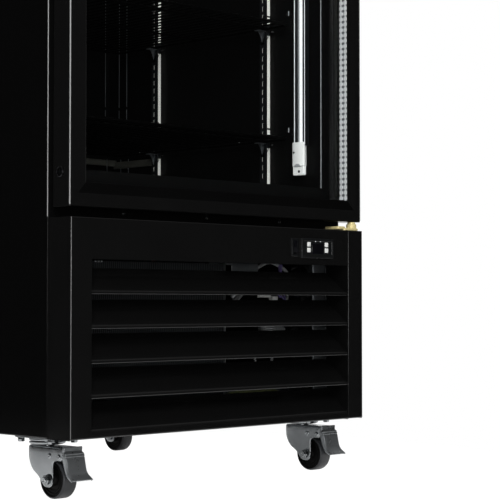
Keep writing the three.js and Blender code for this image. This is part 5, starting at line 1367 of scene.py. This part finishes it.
class CASE_OT_casters(bpy.types.Operator):
    """Casters: plates, forks, wheels and brake pedals"""

    bl_idname = "case.casters"
    bl_label = "Casters"

    def execute(self, context):
        for corner in CORNERS:
            self.plate(corner)
            self.fork(corner)
            self.wheel(corner)
        for side in ("left", "right"):
            self.pedal(side)
        return {"FINISHED"}

    def axis(self, corner):
        """The swivel axis of a caster, on the floor: the middle of its plate"""
        lo, hi = ends("caster_plate_" + corner)
        return np.array([(lo[0] + hi[0]) / 2, (lo[1] + hi[1]) / 2, 0])

    def plate(self, corner):
        """A plate with round corners, the two pressed rings of the ball race turned about the
        swivel axis, and a hexagon bolt under each corner"""
        forms = [slab(-33, 33, -47, 47, 94.7, 97.7, 8, "z", 0.5, 5)]
        race = [(12, 94.8), (24, 94.6), (28.2, 93.6), (29.2, 92.4), (28.8, 91), (26.5, 90.3),
                (23.5, 90.2), (23.5, 89.4), (27.6, 89.2), (29.2, 88.2), (29.0, 86.6), (27.0, 85.0),
                (22, 84.2), (12, 84.0)]
        forms.append(lathe(race, "z", (0, 0, 0), 40))
        washer = [(7.2, 94.8), (7.2, 93.8), (5.6, 93.7)]
        bolt = [(5.6, 93.8), (5.9, 93.2), (5.9, 88.2), (5.0, 87.2), (0.5, 87.1)]
        for x in (-23, 23):
            for y in (-38, 38):
                forms += [lathe(washer, "z", (x, y, 0), 18), lathe(bolt, "z", (x, y, 0), 6)]
        place = self.axis(corner)
        piece("caster_race_" + corner, [moved(form, place) for form in forms], "zinc", "zinc",
              replaces=("caster_plate_" + corner,), smooth=38)

    def fork(self, corner):
        """A pressed sheet: rows run up one leg, over a quarter circle to the crown and down the
        other leg; each row goes from the fork's rear edge to its front edge, and its rear part
        draws in"""
        leg = [(18.6, -20.0, -27.0), (19.6, -15.5, -31.0), (22, -12.0, -33.6), (26, -8.6, -35.0),
               (31, -4.6, -35.6), (36, 0.8, -35.8), (42.9, 12.6, -35.8), (49, 19.2, -35.6),
               (54.9, 23.0, -35.8), (58, 24.5, -37.6), (60, 25.2, -41.0), (61.1, 25.6, -45.5),
               (61.6, 25.8, -57.0), (66, 26.4, -59.0), (72, 26.8, -59.6), (78.6, 27.0, -60)]
        half, crown, radius = 18.0, 82.6, 4.0
        rows = [(half, z, rear, front) for z, rear, front in leg]
        for degrees in (22.5, 45, 67.5, 90):
            a = math.radians(degrees)
            rows.append((half - radius + radius * math.cos(a),
                         crown - radius + radius * math.sin(a), 27.0 - degrees / 60, -60))
        rows += [(8, crown, 26.0, -60), (2, crown, 26.0, -60)]
        rows = np.array(rows + [(-x, z, rear, front) for x, z, rear, front in rows[::-1]])
        share = np.linspace(0, 1, 17)
        y = rows[:, 2:3] + (rows[:, 3:4] - rows[:, 2:3]) * share
        drawn = 2.0 * np.clip((y - 6) / 21, 0, 1) ** 1.6
        x = rows[:, :1] * (1 - drawn / half)
        place, body = self.axis(corner), "fork_" + corner
        points = np.stack([x, y, np.broadcast_to(rows[:, 1:2], y.shape)], -1) + place
        sheet_piece(body + "_sheet", grid(points), FORK_GAUGE, "zinc", "zinc", body,
                    ("caster_fork_" + corner,), smooth=60)
        axle, bolt = (-27.5, 31), (-26.5, 30.6)
        rivet = [(4.4, 17.9), (4.4, 18.5), (3.6, 19.3), (2.2, 19.6), (1.6, 19.0), (0.2, 18.9)]
        studs = [([(9.0, 18.0), (9.0, 18.8), (8.2, 19.4), (7.4, 19.5)], axle, 24),
                 ([(7.4, 19.2), (7.9, 20), (7.9, 25.6), (7.0, 26.8), (5.2, 26.9)], bolt, 6),
                 ([(5.2, 26.4), (5.2, 28.6), (4.4, 29.6), (2.6, 29.6), (1.8, 28.4), (0.2, 28.4)],
                  bolt, 18), (rivet, (-28, 68.0), 18), (rivet, (-51.5, 67.5), 18)]
        forms = [lathe([(r, side * out) for r, out in stud], "x", (0, *at), steps)
                 for side in (-1, 1) for stud, at, steps in studs]
        forms.append(lathe([(4.0, -18.5), (4.0, 18.5)], "x", (0, *axle), 16))
        kingpin = [(11, 83.9), (11, 82.4), (6, 82.3), (6, 78.5), (9.5, 78.2), (8.5, 76),
                   (0.5, 75.4)]
        forms.append(lathe(kingpin, "z", (0, 0, 0), 24))
        piece(body + "_axle", [moved(form, place) for form in forms], "zinc", "zinc", body,
              smooth=40)

    def wheel(self, corner):
        """A tyre on a ringed hub: a profile of the tread, the rings in the side and the boss,
        turned about the axle"""
        node, body = "caster_wheel_" + corner, "wheel_" + corner
        lo, hi = ends(node)
        centre, r = (lo + hi) / 2, (hi[2] - lo[2]) / 2
        half, boss = 13.6, (hi[0] - lo[0]) / 2
        rows = np.array([
            (4.6, boss), (8.4, boss), (9.4, boss - 1), (10.5, half - 3.6), (16.4, half - 3.8),
            (17.2, half - 2.0), (18.4, half - 2.0), (19.0, half - 3.0), (21.4, half - 3.0),
            (22.0, half - 1.2), (23.0, half - 1.2), (23.6, half - 2.0), (25.4, half - 2.0),
            (26.2, half - 0.4), (28.2, half), (29.4, half - 0.6), (r - 0.5, half - 2.0),
            (r - 0.1, half - 4.0), (r, 0)])
        hub = np.concatenate([rows[:-4], rows[:-4][::-1] * [1, -1]])
        tread = np.concatenate([rows[-5:], rows[-5:-1][::-1] * [1, -1]])
        piece(node + "_hub", moved(lathe(hub, "x", (0, 0, 0), 64), centre), "hub", "black_plastic",
              body, smooth=30)
        piece(node + "_tyre", moved(lathe(tread, "x", (0, 0, 0), 64, closed=True), centre), "wheel",
              "wheel", body, (node,), smooth=30)

    def pedal(self, side):
        """A pressed sheet: rows run down the front, with two ribs, to a flared lip; each row goes
        across the front and round a quarter circle into the two side flanges, which narrow towards
        the lip"""
        rows = np.array([  # ahead, height, half width, depth of the flange
            (64.6, 83.4, 18.6, 3), (64.9, 82.4, 18.8, 4), (64.8, 77.4, 18.6, 5),
            (65.2, 76.4, 18.0, 6), (66.2, 75.4, 17.8, 7), (67.6, 74.2, 18.6, 8),
            (68.4, 73.2, 19.4, 8.5), (68.6, 72.4, 19.6, 9), (68.1, 71.8, 19.8, 9),
            (68.2, 71.2, 19.8, 9), (69.0, 70.6, 19.8, 9), (69.3, 69.4, 19.8, 9),
            (69.5, 68.6, 19.7, 9), (69.0, 68.0, 19.6, 9), (69.1, 67.4, 19.6, 9),
            (70.0, 66.6, 19.5, 9), (71.4, 62.0, 19.2, 9), (73.0, 56.0, 19.0, 8.6),
            (74.2, 51.0, 19.0, 8), (75.4, 46.4, 19.2, 7.2), (76.8, 43.4, 19.6, 6.6),
            (79.0, 40.6, 20.0, 6), (82.0, 38.2, 20.4, 5.2), (85.0, 36.2, 20.7, 4.6),
            (87.4, 34.6, 20.9, 4.2), (88.6, 33.4, 21.0, 4.0), (88.4, 32.2, 21.0, 3.4)])
        turn = np.radians([0, 30, 60, 90])
        radius, across = 2.0, 7
        arc = np.column_stack([radius * (1 - np.cos(turn)), radius * (1 - np.sin(turn))])
        tangent = np.gradient(rows[:, :2], axis=0)
        tangent /= np.linalg.norm(tangent, axis=1, keepdims=True)
        inward = np.column_stack([tangent[:, 1], -tangent[:, 0]])
        half, depth = rows[:, 2:3], rows[:, 3:4]
        x = np.concatenate([-half, -half, -half + arc[1:, 0],
                            np.linspace(-0.8, 0.8, across) * (half - radius),
                            half - arc[:0:-1, 0], half, half], 1)
        bend = np.full_like(half, radius)
        sunk = np.concatenate([depth, bend, np.broadcast_to(arc[1:, 1], (len(rows), 3)),
                               np.zeros((len(rows), across)),
                               np.broadcast_to(arc[:0:-1, 1], (len(rows), 3)), bend, depth], 1)
        ahead = rows[:, :1] + inward[:, :1] * sunk
        height = rows[:, 1:2] + inward[:, 1:] * sunk
        place, body = self.axis("front_" + side), "pedal_" + side
        points = np.stack([x, -ahead, height], -1) + place
        # Painted shade: the pedal's zinc is darker than the fork's
        sheet_piece(body + "_sheet", grid(points), PEDAL_GAUGE, "pedal_zinc", "zinc", body,
                    ("brake_pedal_" + side,), smooth=50)
        inner = [(-52, 72.5), (-46.8, 71), (-45.4, 66.5), (-48, 62.8), (-53, 62.2), (-58, 62.4),
                 (-66.0, 60), (-65.2, 72), (-60, 73.6)]
        forms = [prism(inner, "x", k * 13.2, k * 15.2, 0.3) for k in (-1, 1)]
        forms += [lathe([(radius, -end), (radius, end)], "x", (0, -50, 68), 16)
                  for radius, end in ((3.0, 17), (5.5, 13))]
        piece(body + "_cam", [moved(form, place) for form in forms], "zinc", "zinc", body,
              smooth=40)


OPERATORS = (CASE_OT_cabinet, CASE_OT_door, CASE_OT_hinges, CASE_OT_store, CASE_OT_controls,
             CASE_OT_unit, CASE_OT_casters, CASE_OT_stage)


class CASE_PT_panel(bpy.types.Panel):
    """Lists the case's builders in the sidebar"""

    bl_idname = "CASE_PT_panel"
    bl_label = "Display case"
    bl_space_type = "VIEW_3D"
    bl_region_type = "UI"
    bl_category = "Display case"

    def draw(self, context):
        for operator in OPERATORS:
            self.layout.operator(operator.bl_idname)


CLASSES = (CaseSizes, *OPERATORS, CASE_PT_panel)


def register():
    for item in CLASSES:
        bpy.utils.register_class(item)
    bpy.types.Scene.case_sizes = bpy.props.PointerProperty(type=CaseSizes)


def unregister():
    del bpy.types.Scene.case_sizes
    for item in reversed(CLASSES):
        bpy.utils.unregister_class(item)


def main():
    register()
    # The look that each material slot of the CAD nodes starts with
    looks = {
        "black_steel": "powder_coat", "black_liner": "liner", "black_plastic": "abs",
        "white_plastic": "white_abs", "grey_plastic": "galvanised", "foam": "foam",
        "zinc": "zinc", "yellow_zinc": "yellow_zinc", "aluminium": "aluminium",
        "copper": "copper", "glass": "glass", "rubber": "rubber", "wheel": "wheel",
    }
    for part in frame["record"]["subparts"]:
        keep(part["node"], looks[part["material_slot"]])
    for operator in OPERATORS:
        getattr(bpy.ops.case, operator.bl_idname.split(".")[1])()


if __name__ == "__main__":
    main()
